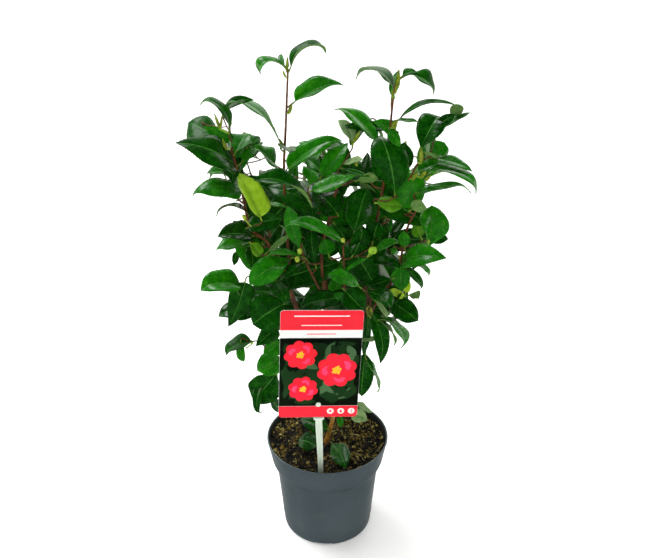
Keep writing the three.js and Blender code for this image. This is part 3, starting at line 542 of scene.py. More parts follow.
        ("d", (114.6, 6.9, 525.4), (130.5, -6.5, 540.3), (-0.61, -0.79, -0.061), 11.7, 39.7, 22.2, 21.9, 1.5, 1.09, -9.8),
    ],
    "foliage_right_inner_top": [
        ("l", (32.5, 0, 466.7), (54.3, -2.3, 469), (0.055, 0.916, 0.397), 14.9, 8.4, 17.1, 42.8, 2.4, 1.1, -20.6),
        ("d", (38.5, 14, 470.1), (43.2, 28.1, 488.3), (0.632, -0.683, 0.366), 12.8, 29.1, 21, 26.1, 2.7, 0.96, 3.8),
        ("d", (70.8, -14, 458.7), (56.1, 10, 513), (-0.036, -0.918, 0.396), 38.4, 1.2, 8.3, 87.8, 22, 1.15, 63.4),
        ("d", (78.3, 10, 466.4), (82.4, 23.3, 501.2), (-0.075, -0.929, 0.363), 25, 16.4, 21.3, 6.9, -4.2, 1.4, -5.4),
        ("m", (79.7, -2, 437.1), (96.3, 12.5, 470), (-0.078, -0.897, 0.435), 32.1, 41.9, 17.3, 84.7, 30, 0.82, -18.2),
        ("d", (44, 19.4, 458.2), (111.2, 0.8, 416), (0.008, -0.91, 0.413), 36, 38.4, 26.8, 22.8, 19.9, 1.02, -51.6),
        ("d", (65.9, 23.4, 415.2), (50.5, 36.8, 464.6), (0.117, -0.949, 0.294), 24, 10.7, 28.7, 27.5, -7.6, 1.01, 4.6),
    ],
    "foliage_right_upper": [
        ("m", (111.2, -10, 499.2), (122.2, -1.5, 508.6), (0.126, -0.804, 0.581), 18.7, 35.7, 14.6, 16.3, 23.5, 1.25, 26.8),
        ("m", (107.1, -6, 493.4), (149.1, -23.2, 484.8), (0.071, -0.302, 0.951), 17.7, 45.9, 22.2, 14.4, 18, 1.06, 11),
        ("m", (95.2, -8, 480.1), (153.8, -31, 463.1), (0.185, -0.235, 0.954), 20.8, 63, 23.7, 45.7, -7.7, 1.2, -9.5),
        ("m", (96.5, -10, 456.8), (151.3, -14.9, 458.2), (-0.052, -0.301, 0.952), 13.1, 22.5, 24.3, 55.3, -12.4, 0.61, -15.6),
        ("l", (100, -10, 501.3), (115.5, -14, 492.4), (0.493, 0.66, 0.566), 10, 20, 20, 20, 0, 1, 0),
        ("m", (103.3, 6.8, 465.6), (108.1, 29.3, 512.4), (0.502, -0.798, 0.333), 30.6, 25.2, 19.7, 21.1, 7.1, 0.99, 20.1),
    ],
    "foliage_right_side": [
        ("l", (89.5, -16, 439.9), (103.3, -27, 447), (0.429, 0.803, 0.413), 17.9, 32.2, 20.2, 42.3, 20.6, 1.05, 15.2),
        ("m", (109.5, -14, 395.6), (113.2, 4.5, 436.1), (0.323, -0.872, 0.368), 39.9, 36.7, 47.7, 9, 0.8, 1.21, -62.9),
        ("b", (101.7, -8, 404.4), (94.8, -3.4, 421.1), (0.146, -0.937, 0.318), 16.5, 10.1, 28.9, 25.5, -10, 0.91, 23.4),
        ("m", (83.5, -24, 399.7), (81.9, -18.9, 416.4), (-0.092, -0.955, 0.282), 13.7, 21.7, 25.2, 21.6, -6.4, 1.1, 4.6),
        ("d", (113.1, 3.8, 395.9), (134.2, 5.7, 395.6), (0.085, -0.828, 0.554), 13.2, 39.5, 15.5, 17.7, -15.9, 0.96, -4.7),
    ],
    "foliage_right_low": [
        ("m", (83.4, -16, 374.4), (125.2, -48.8, 398.1), (-0.667, -0.397, 0.63), 28.6, 112.3, 27.5, 2.2, 3.5, 0.97, 25.3),
        ("d", (86.8, -10, 369.2), (104.3, -12.3, 342.3), (0.601, -0.663, 0.447), 11.5, 31.1, 27.2, 63.2, 18.1, 0.88, 10),
        ("m", (97.4, -14, 374.4), (110.9, -24.2, 364.7), (0.437, -0.246, 0.865), 11.8, 77.1, 19.2, 40.4, 3.3, 0.9, -10.4),
        ("y", (86.1, -24, 338.2), (66.4, -29, 349.3), (0.518, -0.487, 0.703), 12.8, 4.5, 38.4, 1.7, -4.2, 1.19, 10.1),
        ("m", (91.9, -14, 336.2), (102.6, -12.9, 330.2), (0.161, 0.878, 0.451), 16.9, 92.6, 19.1, 27.1, 5.6, 1.16, -10.9),
        ("m", (80.2, -20, 374.3), (82.7, -25.2, 347.4), (-0.161, -0.972, 0.172), 21.4, 20.4, 18, 24.7, 11.7, 0.95, 0.9),
        ("d", (43.1, -36, 351.9), (68.2, -61.8, 346.2), (-0.048, -0.26, 0.964), 23.1, 20.8, 28.9, 43.8, -25.2, 1.46, -4.6),
        ("d", (50.5, -10, 376.1), (80.7, -28.4, 375.7), (-0.305, -0.518, 0.799), 13.5, 50.5, 34.8, 57.6, -0.1, 0.88, 8),
        ("d", (70.6, -26, 362.2), (44.2, -25.5, 351.6), (-0.324, -0.522, 0.789), 16, 17.2, 19.3, 25.3, -15.5, 1.21, -2.1),
        ("y", (87, -20, 342.3), (90.5, -18.7, 356.8), (-0.135, -0.983, 0.121), 9, 25.2, 42.5, 25, 2.7, 0.94, 2),
        ("d", (64.7, 46, 374.3), (126.6, 61.3, 372.8), (0.241, -0.969, 0.055), 28.9, 17.8, 16.1, 11.9, -4.3, 0.97, -15.4),
        ("d", (49.4, 15, 385.6), (92.6, 12.7, 302.4), (0.509, -0.811, 0.287), 31.4, 22.1, 22.6, 19.4, 11.9, 0.95, 25),
        ("m", (73.5, 46, 406.6), (47.7, 56.5, 345.8), (-0.075, -0.988, -0.139), 24, 4.5, 22, 25.1, 26.6, 0.91, 5.1),
    ],
    "foliage_right_inner": [
        ("d", (28.7, -24, 416.6), (44.4, 4.4, 456.5), (-0.357, -0.69, 0.63), 39.6, 0.5, 25, 33.4, -4.9, 1.03, 74.2),
        ("b", (52.4, -26, 451.2), (80.9, -10.7, 441.4), (0.502, -0.471, 0.725), 19.3, -20, 17.2, 33, -2.3, 0.93, 10.5),
        ("d", (27.6, -26, 391), (36.3, -20.5, 423.7), (0.384, -0.922, 0.053), 25.4, 20.5, 26.8, 48.9, 16.4, 1.08, -21.6),
        ("d", (48.5, -24, 405.3), (55.1, -18, 426.1), (-0.505, -0.774, 0.383), 24.3, 31, 25.8, 21, 3.5, 1.59, 26.8),
        ("m", (46.9, -34, 395), (77.8, -21, 403.6), (-0.137, -0.296, 0.945), 14.5, 46.7, 42.3, 30.1, 8.7, 1.39, 23.4),
        ("y", (44.7, -36, 396.6), (51.5, -38.3, 406.6), (-0.18, -0.978, -0.104), 9.1, 8, 25.7, 12.6, -5.6, 1.32, -6.9),
        ("m", (71, -30, 401.6), (70.4, -42.4, 398.6), (-0.115, -0.231, 0.966), 7.3, 28.5, 24.6, 27.2, -3, 0.8, 3.5),
        ("m", (64, 18.4, 416.9), (-20.7, 18, 417), (0.004, -0.788, 0.616), 34.5, -6.9, 19.6, 28.9, 33.6, 1.09, 14.4),
    ],
    "foliage_centre_front": [
        ("m", (-38.7, -34, 391.3), (-82, -54.3, 369.5), (0.004, -0.736, 0.677), 28.4, 62.2, 19.8, 12.9, 10.5, 1.32, -48.8),
        ("m", (-28.2, -34, 402.3), (-40.4, -43.3, 454.9), (0.649, -0.761, 0.016), 20.4, -17.9, 24.5, 11, -8.8, 1.43, -23.3),
        ("m", (15.5, -44, 416.2), (-42.7, -57.4, 439.2), (0.407, -0.273, 0.871), 22.1, 27.8, 28, 52.2, -7.9, 0.96, 1.7),
        ("d", (-12.8, -18, 374.8), (-17.5, -3.8, 412.5), (0.033, -0.934, 0.355), 16, 35.2, 12.3, 46.8, -16.5, 1.64, 1.1),
        ("m", (1.7, -30, 393.5), (-2.6, -24.9, 410.3), (0.503, -0.783, 0.365), 21.6, 0.8, 20.9, 12.9, -6.5, 1.07, 21.9),
        ("m", (-25, -36, 393.1), (-63.4, -44.6, 398.7), (0.165, -0.09, 0.982), 13.3, 35.2, 22, 34.7, 10, 1.25, -5.3),
        ("d", (-26.4, -30, 383.8), (-50.3, -43, 371.4), (0.107, -0.782, 0.614), 9.7, 57.1, 26.4, 42.6, -17.7, 1.05, 7.3),
        ("m", (33.9, -56, 368.5), (0.3, -59.8, 384.3), (0.415, -0.496, 0.763), 19.6, 26.9, 29, 33, 12.6, 1.18, -23.6),
        ("m", (18.8, -40, 378.7), (43.6, -39.2, 393.8), (-0.437, -0.501, 0.747), 6, 6.1, 26.6, 25.6, -5.6, 1.19, -1.4),
        ("d", (19.3, -40, 354.9), (39.8, -49.7, 335.7), (0.054, -0.867, 0.495), 29.5, 20.4, 24.4, 18.4, 1.9, 1.01, 0.9),
        ("d", (8, 2.3, 415), (56.4, -0.6, 338.6), (-0.022, -0.999, 0.024), 36, 44.5, 21.7, 27.7, -20.4, 1.02, -47),
        ("d", (-46.7, 11.4, 353.3), (-28.7, 38, 435.6), (0.014, -0.952, 0.305), 36, 3.4, 14.7, 28.1, 22.6, 0.91, -23.4),
        ("d", (-20, 46, 366.8), (20.8, 54.8, 367), (0.131, -0.626, 0.769), 32.8, 23.1, 21.1, 28.1, 4.1, 1.05, -0.4),
    ],
    "foliage_right_low_inner": [
        ("d", (66.3, -22, 335.3), (100.1, -40, 317), (0.026, -0.688, 0.725), 26.9, 55.4, 16.7, 21.7, 10.7, 1.31, 12.7),
        ("l", (53.3, -40, 341.7), (65.4, -50.9, 326.6), (0.431, -0.53, 0.73), 7.8, 30.8, 22.4, 14.4, -8.4, 1.02, 8.4),
        ("d", (37.3, 24.2, 292.4), (78.1, 12.5, 307.2), (-0.415, -0.675, 0.609), 30.5, 47.8, 15.4, 21.4, 17.7, 1, -0.6),
    ],
    "foliage_right_hanging": [
        ("d", (49.5, -40, 326.4), (58.6, -55, 270.9), (0.204, -0.936, 0.286), 19.6, 34.3, 26.2, 0, -40.7, 0.83, 18.3),
        ("m", (55.8, -40, 319), (80.1, -62.7, 295.6), (0.692, 0.001, 0.722), 36, 99.2, 23.3, 39.4, 7.8, 0.83, -2.9),
        ("l", (57.1, -44, 320.4), (73.8, -50.7, 291.7), (0.87, 0.128, 0.477), 17.8, 60, 21.6, 23.6, 11.9, 0.98, -29.8),
        ("d", (44.6, -36, 321.9), (40.4, -40.8, 272.5), (-0.27, -0.956, 0.116), 10.4, 22.8, 18.4, 29.1, -16.7, 0.81, -4.1),
        ("l", (39.4, -48, 296.8), (56.6, -46.4, 297.2), (-0.035, 0.102, 0.994), 12.6, 14.5, 19.3, 26.1, 0.4, 0.98, 3),
    ],
    "foliage_label_side": [
        ("d", (42.5, -40, 274.9), (39, -54.1, 226.3), (-0.147, -0.947, 0.285), 26.6, 11.8, 27.4, 37.5, 3.2, 0.96, 0.7),
        ("m", (43.9, -44, 270.7), (57.1, -49.7, 228.4), (0.948, -0.083, 0.307), 20.5, 34.6, 17.6, 31.9, 21.9, 0.91, -3.3),
        ("l", (28.9, -40, 191.2), (46.7, -47.8, 188.5), (-0.16, -0.625, 0.765), 17.4, 53.1, 28.4, 12.3, -6, 0.93, -12.3),
        ("l", (32.8, -50, 215.1), (51.9, -52.2, 202.5), (0.538, -0.107, 0.836), 13.2, -8.2, 19.1, 8.4, -0.3, 1.17, -20.2),
        ("m", (15.4, -4, 160.8), (16.6, -14.7, 151.5), (-0.09, -0.659, 0.747), 9.5, 17.6, 26.9, 21.5, -1.4, 0.82, 8.8),
    ],
    "foliage_centre_low": [
        ("d", (15.9, -30, 340.8), (-29.3, -32.8, 329.9), (-0.14, -0.649, 0.748), 25.9, 34.7, 27.9, 21.7, 10.7, 1.24, -25.8),
        ("m", (21.1, -28, 347), (-2.2, -31.3, 332.5), (-0.311, -0.687, 0.657), 11.3, 17.8, 24, 33.5, -6.8, 1.23, -24.1),
        ("d", (65.6, 45.5, 311), (-24, 57, 308.3), (-0.126, -0.876, 0.466), 36, 20, 21, 18.8, -1.8, 0.93, -1.1),
        ("m", (6.2, 46, 304.9), (25.9, 50.9, 361.7), (0.557, -0.821, -0.122), 32.2, 28.7, 20.8, 16.3, -14.9, 0.93, -12.6),
        ("d", (-5.9, 10.5, 304.2), (36.5, 12.1, 308.1), (-0.035, -0.732, 0.68), 15.4, 29.7, 26, 16.8, -9.8, 0.91, 10.3),
        ("d", (-11.3, 24.3, 304.8), (-66, 28.1, 297.7), (-0.142, -0.654, 0.743), 18.3, 26.6, 17.9, 14.1, -8.4, 0.9, -24.1),
        ("m", (-39.9, 34.3, 285.9), (-14.3, 37.4, 323.8), (-0.407, -0.847, 0.343), 16.9, 31.3, 28.8, 28, 72.4, 0.95, 25.1),
    ],
    "foliage_soil_left": [
        ("d", (-0.3, -4, 141.5), (-34.2, 19.7, 139.9), (-0.361, -0.461, 0.811), 21.5, 21.5, 21.3, 21.1, -4.1, 0.76, 29.3),
        ("d", (-13.1, -22, 129.1), (-35.8, -9.8, 129.9), (-0.117, -0.279, 0.953), 28.5, 51.6, 30, 2.2, -5.4, 0.98, -7.5),
    ],
    "foliage_soil_right": [
        ("d", (5.7, -14, 127.4), (21.8, -55.9, 123.1), (-0.247, -0.193, 0.95), 24.1, 17.9, 24, 25.3, -25.6, 1.21, 13),
    ],
}

# Leaves of the ruled sprays that are left out, (shoot, leaf), where they would close a gap in the crown.
CUT = {
    "foliage_back_left": [("twig", 1), ("twig", 11), ("twig", 12), ("twig", 14), ("twig", 15), ("twig", 3), ("twig", 4), ("twig", 6), ("twig", 9), (0, 4), (1, 2), (1, 3), (10, 4), (11, 3), (12, 1), (12, 2), (12, 3), (13, 2), (14, 3), (15, 2), (17, 1), (2, 2), (3, 2), (4, 2), (4, 3), (7, 3), (9, 3)],
    "foliage_back_left_low": [("twig", 11), ("twig", 2), ("twig", 3), ("twig", 4), ("twig", 7), ("twig", 8), (0, 0), (0, 2), (1, 3), (10, 0), (2, 3), (3, 2), (7, 2)],
    "foliage_back_low": [("twig", 5)],
    "foliage_back_right": [("twig", 17), ("twig", 4), ("twig", 5), ("twig", 7), ("twig", 8), ("twig", 9), (0, 2), (0, 3), (0, 4), (10, 4), (2, 3), (4, 0), (4, 2), (5, 2), (5, 3), (7, 2), (7, 3), (8, 2), (8, 3)],
    "foliage_back_right_low": [("twig", 4), ("twig", 5), ("twig", 6), ("twig", 7), (0, 2), (10, 2), (10, 4), (6, 2)],
    "foliage_back_top": [("twig", 1), ("twig", 10), ("twig", 14), ("twig", 15), ("twig", 2), ("twig", 5), ("twig", 7), ("twig", 8), (0, 2), (0, 3), (1, 3), (16, 1), (2, 2), (3, 2), (5, 2), (7, 3), (8, 2), (9, 0)],
    "foliage_centre_front": [("twig", 5)],
    "foliage_centre_high": [("twig", 0), ("twig", 1), ("twig", 2), ("twig", 3), ("twig", 4)],
    "foliage_centre_left": [("twig", 0), ("twig", 1), ("twig", 2), ("twig", 3), ("twig", 4), ("twig", 5), ("twig", 6), ("twig", 7)],
    "foliage_centre_low": [("twig", 1), ("twig", 2), ("twig", 3), ("twig", 4), ("twig", 5), (0, 3)],
    "foliage_centre_top": [("twig", 0), ("twig", 1), ("twig", 2), ("twig", 3), ("twig", 4), ("twig", 5), ("twig", 6), ("twig", 9), (3, 2), (3, 3), (4, 2)],
    "foliage_label_side": [("twig", 0), ("twig", 1), ("twig", 2), ("twig", 3), ("twig", 4), (0, 2), (2, 2), (2, 3), (2, 4)],
    "foliage_left_foot": [("twig", 1), ("twig", 3), ("twig", 4), ("twig", 5)],
    "foliage_left_inner": [("twig", 0), ("twig", 1), ("twig", 3), ("twig", 5)],
    "foliage_left_low": [("twig", 0), ("twig", 1), ("twig", 2), ("twig", 3), ("twig", 5), ("twig", 6), ("twig", 7), (0, 2), (0, 3), (4, 0), (4, 3), (5, 3), (5, 4)],
    "foliage_left_side": [("twig", 0), ("twig", 1), ("twig", 2), ("twig", 3), ("twig", 4), ("twig", 6), ("twig", 7), (0, 3), (4, 2), (6, 2), (6, 3)],
    "foliage_left_sprig": [("twig", 0), ("twig", 1), ("twig", 2), (0, 3)],
    "foliage_left_waist": [("twig", 0), ("twig", 1), ("twig", 2), ("twig", 3), ("twig", 4), ("twig", 5), (0, 2), (0, 3)],
    "foliage_right_hanging": [("twig", 1), ("twig", 3), ("twig", 4), (0, 3), (2, 2), (2, 4)],
    "foliage_right_inner": [("twig", 0), ("twig", 1), ("twig", 4), ("twig", 5), ("twig", 6), ("twig", 8)],
    "foliage_right_inner_top": [("twig", 0), ("twig", 1), ("twig", 2), ("twig", 4), ("twig", 5)],
    "foliage_right_low": [("twig", 0), ("twig", 1), ("twig", 2), ("twig", 4), ("twig", 6), ("twig", 7), (4, 3), (4, 4)],
    "foliage_right_low_inner": [("twig", 1), ("twig", 2), ("twig", 4), ("twig", 5)],
    "foliage_right_side": [("twig", 0), ("twig", 1), ("twig", 2), ("twig", 3), ("twig", 4), ("twig", 5), (0, 3)],
    "foliage_right_upper": [("twig", 0), ("twig", 1), ("twig", 2), ("twig", 3), ("twig", 4), ("twig", 5), ("twig", 7), ("twig", 8), ("twig", 9), (0, 2), (0, 3), (2, 3), (3, 0), (3, 1), (3, 2), (3, 3), (3, 4), (3, 5), (5, 2), (5, 3), (7, 2)],
    "foliage_upper_left": [("twig", 0), ("twig", 1), ("twig", 3), ("twig", 4), ("twig", 5), ("twig", 6), ("twig", 7), (0, 3), (1, 2), (1, 3), (2, 1), (4, 3), (5, 2), (6, 2), (7, 0), (7, 1), (7, 2), (8, 0), (9, 0), (9, 2)],
}
PRUNED = frozenset((name, k, j) for name, pairs in CUT.items() for k, j in pairs)

# Buds by place: foot, tip, radius and kind.
PLACED_BUDS = [
    ((-39.7, 0.0, 584.1), (-39.3, -0.5, 596.5), 1.9, "leaf"),
    ((-41.6, -0.8, 576.3), (-44.4, -1.3, 583.4), 1.3, "leaf"),
    ((71.1, 1.9, 564.6), (71.8, 1.4, 584.3), 2.5, "leaf"),
    ((67.9, 1.0, 553.6), (64.9, 0.5, 564.0), 1.8, "leaf"),
    ((69.1, -0.1, 560.1), (70.6, -0.6, 571.3), 1.5, "leaf"),
    ((-39.5, 0.4, 538.8), (-35.2, -0.1, 549.8), 2.2, "leaf"),
    ((-45.9, 1.8, 501.7), (-49.5, 1.3, 512.1), 2.0, "leaf"),
    ((66.5, 1.2, 520.1), (73.2, 0.7, 533.5), 2.6, "leaf"),
    ((66.7, -0.9, 524.0), (69.5, -1.4, 531.5), 1.9, "leaf"),
    ((97.2, -12.0, 490.0), (96.8, -12.5, 507.4), 3.0, "leaf"),
    ((89.8, -7.3, 470.2), (95.6, -7.8, 478.7), 2.2, "leaf"),
    ((98.0, -8.1, 472.2), (104.7, -8.6, 482.8), 2.5, "leaf"),
    ((103.0, -7.1, 468.5), (109.4, -7.6, 475.3), 2.0, "leaf"),
    ((-109.1, -10.0, 525.7), (-114.1, -10.5, 542.9), 1.8, "leaf"),
    ((-108.5, -10.0, 526.7), (-105.6, -10.5, 541.9), 1.5, "leaf"),
    ((-104.0, -12.0, 505.1), (-106.8, -12.5, 516.5), 1.9, "leaf"),
    ((27.5, 3.8, 507.0), (34.5, 3.3, 520.0), 2.4, "leaf"),
    ((-28.0, -53.3, 405.3), (-28.7, -53.8, 411.9), 2.7, "flower"),
    ((-30.7, -51.5, 395.2), (-31.7, -52.0, 401.8), 2.6, "flower"),
    ((16.8, -56.0, 419.7), (15.7, -56.5, 425.0), 2.1, "flower"),
    ((109.2, -18.4, 401.8), (107.8, -18.9, 406.8), 2.0, "flower"),
    ((-97.6, 10.7, 328.9), (-100.1, 10.2, 336.3), 2.0, "flower"),
    ((-86.6, -19.0, 274.4), (-87.6, -19.5, 280.1), 1.8, "flower"),
    ((-85.3, -33.1, 435.0), (-87.5, -33.6, 441.4), 2.1, "flower"),
    ((77.0, 38.7, 406.7), (75.8, 38.2, 413.1), 2.1, "flower"),
    ((79.2, 51.7, 432.0), (75.3, 51.2, 446.7), 2.2, "leaf"),
    ((31.4, 0.0, 482.5), (27.5, -0.5, 493.7), 2.0, "leaf"),
    ((48.3, -26.9, 313.5), (45.7, -27.4, 329.1), 3.4, "knuckle"),
]


# ---------------------------------------------------------------------------
# Colours, as sRGB turned to linear
# ---------------------------------------------------------------------------
def rgb(r, g, b):
    f = lambda c: c / 12.92 if c <= 0.04045 else ((c + 0.055) / 1.055) ** 2.4
    return (f(r / 255), f(g / 255), f(b / 255), 1.0)


class Nodes:
    """A material's node tree, with short ways to add to it."""

    def __init__(self, name):
        self.mat = bpy.data.materials.new(name)
        self.mat.use_nodes = True
        self.t = self.mat.node_tree
        self.bsdf = self.t.nodes["Principled BSDF"]
        self.coord = self.t.nodes.new("ShaderNodeTexCoord")

    def node(self, kind, **values):
        n = self.t.nodes.new(kind)
        for k, v in values.items():
            if k in n.inputs:
                n.inputs[k].default_value = v
            else:
                setattr(n, k, v)
        return n

    def link(self, a, b):
        self.t.links.new(a, b)

    def scaled(self, x, y, z):
        m = self.node("ShaderNodeMapping")
        m.inputs["Scale"].default_value = (x, y, z)
        self.link(self.coord.outputs["Object"], m.inputs["Vector"])
        return m.outputs["Vector"]

    def noise(self, scale, detail=4.0, rough=0.55, at=None, distort=0.0):
        n = self.node("ShaderNodeTexNoise", Scale=scale, Detail=detail, Roughness=rough, Distortion=distort)
        self.link(at if at is not None else self.coord.outputs["Object"], n.inputs["Vector"])
        return n.outputs["Fac"]

    def cells(self, scale, at=None, feature="F1"):
        n = self.node("ShaderNodeTexVoronoi", Scale=scale)
        n.feature = feature
        self.link(at if at is not None else self.coord.outputs["Object"], n.inputs["Vector"])
        return n.outputs["Distance"]

    def ramp(self, fac, stops):
        n = self.node("ShaderNodeValToRGB")
        e = n.color_ramp.elements
        while len(e) < len(stops):
            e.new(0.5)
        for k, (pos, col) in enumerate(stops):
            e[k].position = pos
            e[k].color = col
        self.link(fac, n.inputs["Fac"])
        return n.outputs["Color"]

    def remap(self, fac, a, b, c, d):
        n = self.node("ShaderNodeMapRange")
        for k, v in zip(("From Min", "From Max", "To Min", "To Max"), (a, b, c, d)):
            n.inputs[k].default_value = v
        self.link(fac, n.inputs["Value"])
        return n.outputs["Result"]

    def mix(self, fac, a, b, how="MIX"):
        n = self.node("ShaderNodeMix", data_type="RGBA")
        n.blend_type = how
        for s, v in ((n.inputs[0], fac), (n.inputs[6], a), (n.inputs[7], b)):
            if isinstance(v, (int, float, tuple)):
                s.default_value = v
            else:
                self.link(v, s)
        return n.outputs[2]

    def sum(self, a, b, wa=1.0, wb=1.0):
        m = self.node("ShaderNodeMath", operation="MULTIPLY")
        m.inputs[1].default_value = wa
        self.link(a, m.inputs[0])
        k = self.node("ShaderNodeMath", operation="MULTIPLY_ADD")
        k.inputs[1].default_value = wb
        self.link(b, k.inputs[0])
        self.link(m.outputs[0], k.inputs[2])
        return k.outputs[0]

    def bump(self, height, strength, distance):
        n = self.node("ShaderNodeBump", Strength=strength, Distance=distance)
        self.link(height, n.inputs["Height"])
        self.link(n.outputs["Normal"], self.bsdf.inputs["Normal"])

    def base(self, out):
        self.link(out, self.bsdf.inputs["Base Color"])

    def rough(self, out):
        self.link(out, self.bsdf.inputs["Roughness"])

    def set(self, **values):
        for k, v in values.items():
            self.bsdf.inputs[k.replace("_", " ")].default_value = v


def leaf_upper(name, deep, main, pale, gloss=0.25, level=0.46):
    m = Nodes(name)
    island = m.node("ShaderNodeNewGeometry").outputs["Random Per Island"]
    mott = m.noise(150, 3.0, 0.6)
    col = m.ramp(mott, [(0.30, rgb(*deep)), (0.55, rgb(*main)), (0.78, rgb(*pale))])
    tint = m.ramp(island, [(0.0, (0.72, 0.82, 0.85, 1)), (0.5, (1, 1, 1, 1)), (1.0, (1.3, 1.14, 0.9, 1))])
    m.base(m.mix(1.0, col, tint, "MULTIPLY"))
    m.rough(m.remap(m.noise(420, 2.0), 0.3, 0.7, gloss - 0.03, gloss + 0.05))
    m.bump(m.sum(m.noise(900, 2.0), m.cells(620), 0.6, 0.6), 0.07, 0.0005)
    m.set(Specular_IOR_Level=level, IOR=1.42)
    return m.mat


def leaf_under(name, main, pale):
    m = Nodes(name)
    island = m.node("ShaderNodeNewGeometry").outputs["Random Per Island"]
    col = m.ramp(m.noise(260, 4.0, 0.6), [(0.3, rgb(*main)), (0.7, rgb(*pale))])
    tint = m.ramp(island, [(0.0, (0.88, 0.9, 0.88, 1)), (1.0, (1.08, 1.05, 1.0, 1))])
    m.base(m.mix(1.0, col, tint, "MULTIPLY"))
    m.rough(m.remap(m.noise(500, 2.0), 0.3, 0.7, 0.5, 0.66))
    m.bump(m.cells(900, feature="F1"), 0.2, 0.0005)
    m.set(Specular_IOR_Level=0.22)
    return m.mat


def rib(name, col, pale):
    m = Nodes(name)
    m.base(m.ramp(m.noise(300, 2.0), [(0.35, rgb(*col)), (0.7, rgb(*pale))]))
    m.rough(m.remap(m.noise(500, 2.0), 0.3, 0.7, 0.36, 0.5))
    m.bump(m.noise(900, 2.0), 0.1, 0.0004)
    m.set(Specular_IOR_Level=0.25)
    return m.mat


def bark(name, dark, main, pale, scale=1.0):
    m = Nodes(name)
    grain = m.noise(130 * scale, 5.0, 0.62, m.scaled(1, 1, 0.28), 0.4)
    fine = m.noise(620 * scale, 3.0, 0.6, m.scaled(1, 1, 0.4))
    spots = m.cells(330 * scale)
    col = m.ramp(m.sum(grain, fine, 0.7, 0.3), [(0.32, rgb(*dark)), (0.52, rgb(*main)), (0.74, rgb(*pale))])
    fleck = m.remap(spots, 0.0, 0.22, 1.0, 0.0)
    m.base(m.mix(m.sum(fleck, fine, 0.35, 0.0), col, rgb(*pale)))
    m.rough(m.remap(fine, 0.3, 0.7, 0.48, 0.72))
    m.bump(m.sum(grain, fine, 1.0, 0.6), 0.55, 0.0012)
    return m.mat


def plastic(name, dark, main, pale, gloss, dust=None, scratch=0.25, level=0.3):
    m = Nodes(name)
    big = m.noise(9, 3.0, 0.5)
    fine = m.noise(950, 2.0, 0.6)
    col = m.ramp(big, [(0.3, rgb(*dark)), (0.52, rgb(*main)), (0.75, rgb(*pale))])
    if dust:
        spots = m.remap(m.noise(70, 6.0, 0.72), 0.58, 0.74, 0.0, 0.45)
        col = m.mix(spots, col, rgb(*dust))
    m.base(col)
    m.rough(m.remap(m.sum(fine, m.noise(40, 4.0), 0.5, 0.5), 0.35, 0.65, gloss - 0.06, gloss + 0.1))
    m.bump(fine, scratch, 0.00035)
    m.set(Specular_IOR_Level=level)
    return m.mat


# ---------------------------------------------------------------------------
# From arrays to Blender
# ---------------------------------------------------------------------------
def new_mesh(name, verts, faces_flat, loop_start, mats, mat_index=None, smooth=None):
    me = bpy.data.meshes.new(name)
    me.vertices.add(len(verts))
    me.vertices.foreach_set("co", np.asarray(verts, np.float32).ravel())
    me.loops.add(len(faces_flat))
    me.loops.foreach_set("vertex_index", np.asarray(faces_flat, np.int32))
    me.polygons.add(len(loop_start))
    me.polygons.foreach_set("loop_start", np.asarray(loop_start, np.int32))
    if mat_index is not None:
        me.polygons.foreach_set("material_index", np.asarray(mat_index, np.int32))
    if smooth is None:
        smooth = np.ones(len(loop_start), bool)
    me.polygons.foreach_set("use_smooth", np.asarray(smooth, bool))
    for m in mats:
        me.materials.append(m)
    me.update(calc_edges=True)
    me.validate()
    ob = bpy.data.objects.new(name, me)
    bpy.context.scene.collection.objects.link(ob)
    return ob


def from_soup(name, soup, mats, scale=MM):
    V, Q, M, S = soup.arrays()
    ob = new_mesh(name, V * scale, Q.ravel(), np.arange(len(Q)) * 4, mats, M, S)
    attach(ob, "root")
    return ob


def lathe(soup, profile, segments, mat=0, shape=None, smooth=True):
    """A closed body of revolution about Z from a profile that starts and ends on the axis."""
    prof = np.array(profile, float)
    a = np.linspace(0, 2 * np.pi, segments, endpoint=False)
    ring = prof[1:-1]
    G = np.stack([ring[:, 0][:, None] * np.cos(a), ring[:, 0][:, None] * np.sin(a), np.repeat(ring[:, 1][:, None], segments, 1)], 2)
    if shape is not None:
        G = shape(G, a)
    n = len(ring)
    V = np.vstack([G.reshape(-1, 3)])
    i, j = np.meshgrid(np.arange(n - 1), np.arange(segments), indexing="ij")
    i, j = i.ravel(), j.ravel()
    jn = (j + 1) % segments
    Q = np.stack([i * segments + j, i * segments + jn, (i + 1) * segments + jn, (i + 1) * segments + j], 1)
    k = np.arange(segments // 2 - 1)
    ends = np.stack([k, k + 1, segments - 2 - k, segments - 1 - k], 1)
    Q = np.vstack([Q, ends[:, ::-1], ends + (n - 1) * segments])
    soup.add(V, Q, mat, smooth)


BOX = {n: tuple(np.array(c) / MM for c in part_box(n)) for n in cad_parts}

# ---------------------------------------------------------------------------
# Pot
# ---------------------------------------------------------------------------
POT = dict(height=131.0, rim=75.0, collar=34.0, collar_foot=69.6, wall_top=63.9, base=56.0, wall=1.4, floor=2.4)


def soften(points, steps=4):
    """Rounds each inner corner of a profile a little."""
    P = np.array(points, float)
    out = [P[0]]
    for k in range(1, len(P) - 1):
        a, b, c = P[k - 1], P[k], P[k + 1]
        ra = min(0.35 * np.linalg.norm(b - a), 1.2)
        rc = min(0.35 * np.linalg.norm(c - b), 1.2)
        p, q = b + unit(a - b) * ra, b + unit(c - b) * rc
        for t in np.linspace(0, 1, steps):
            out.append((1 - t) ** 2 * p + 2 * t * (1 - t) * b + t * t * q)
    out.append(P[-1])
    return out


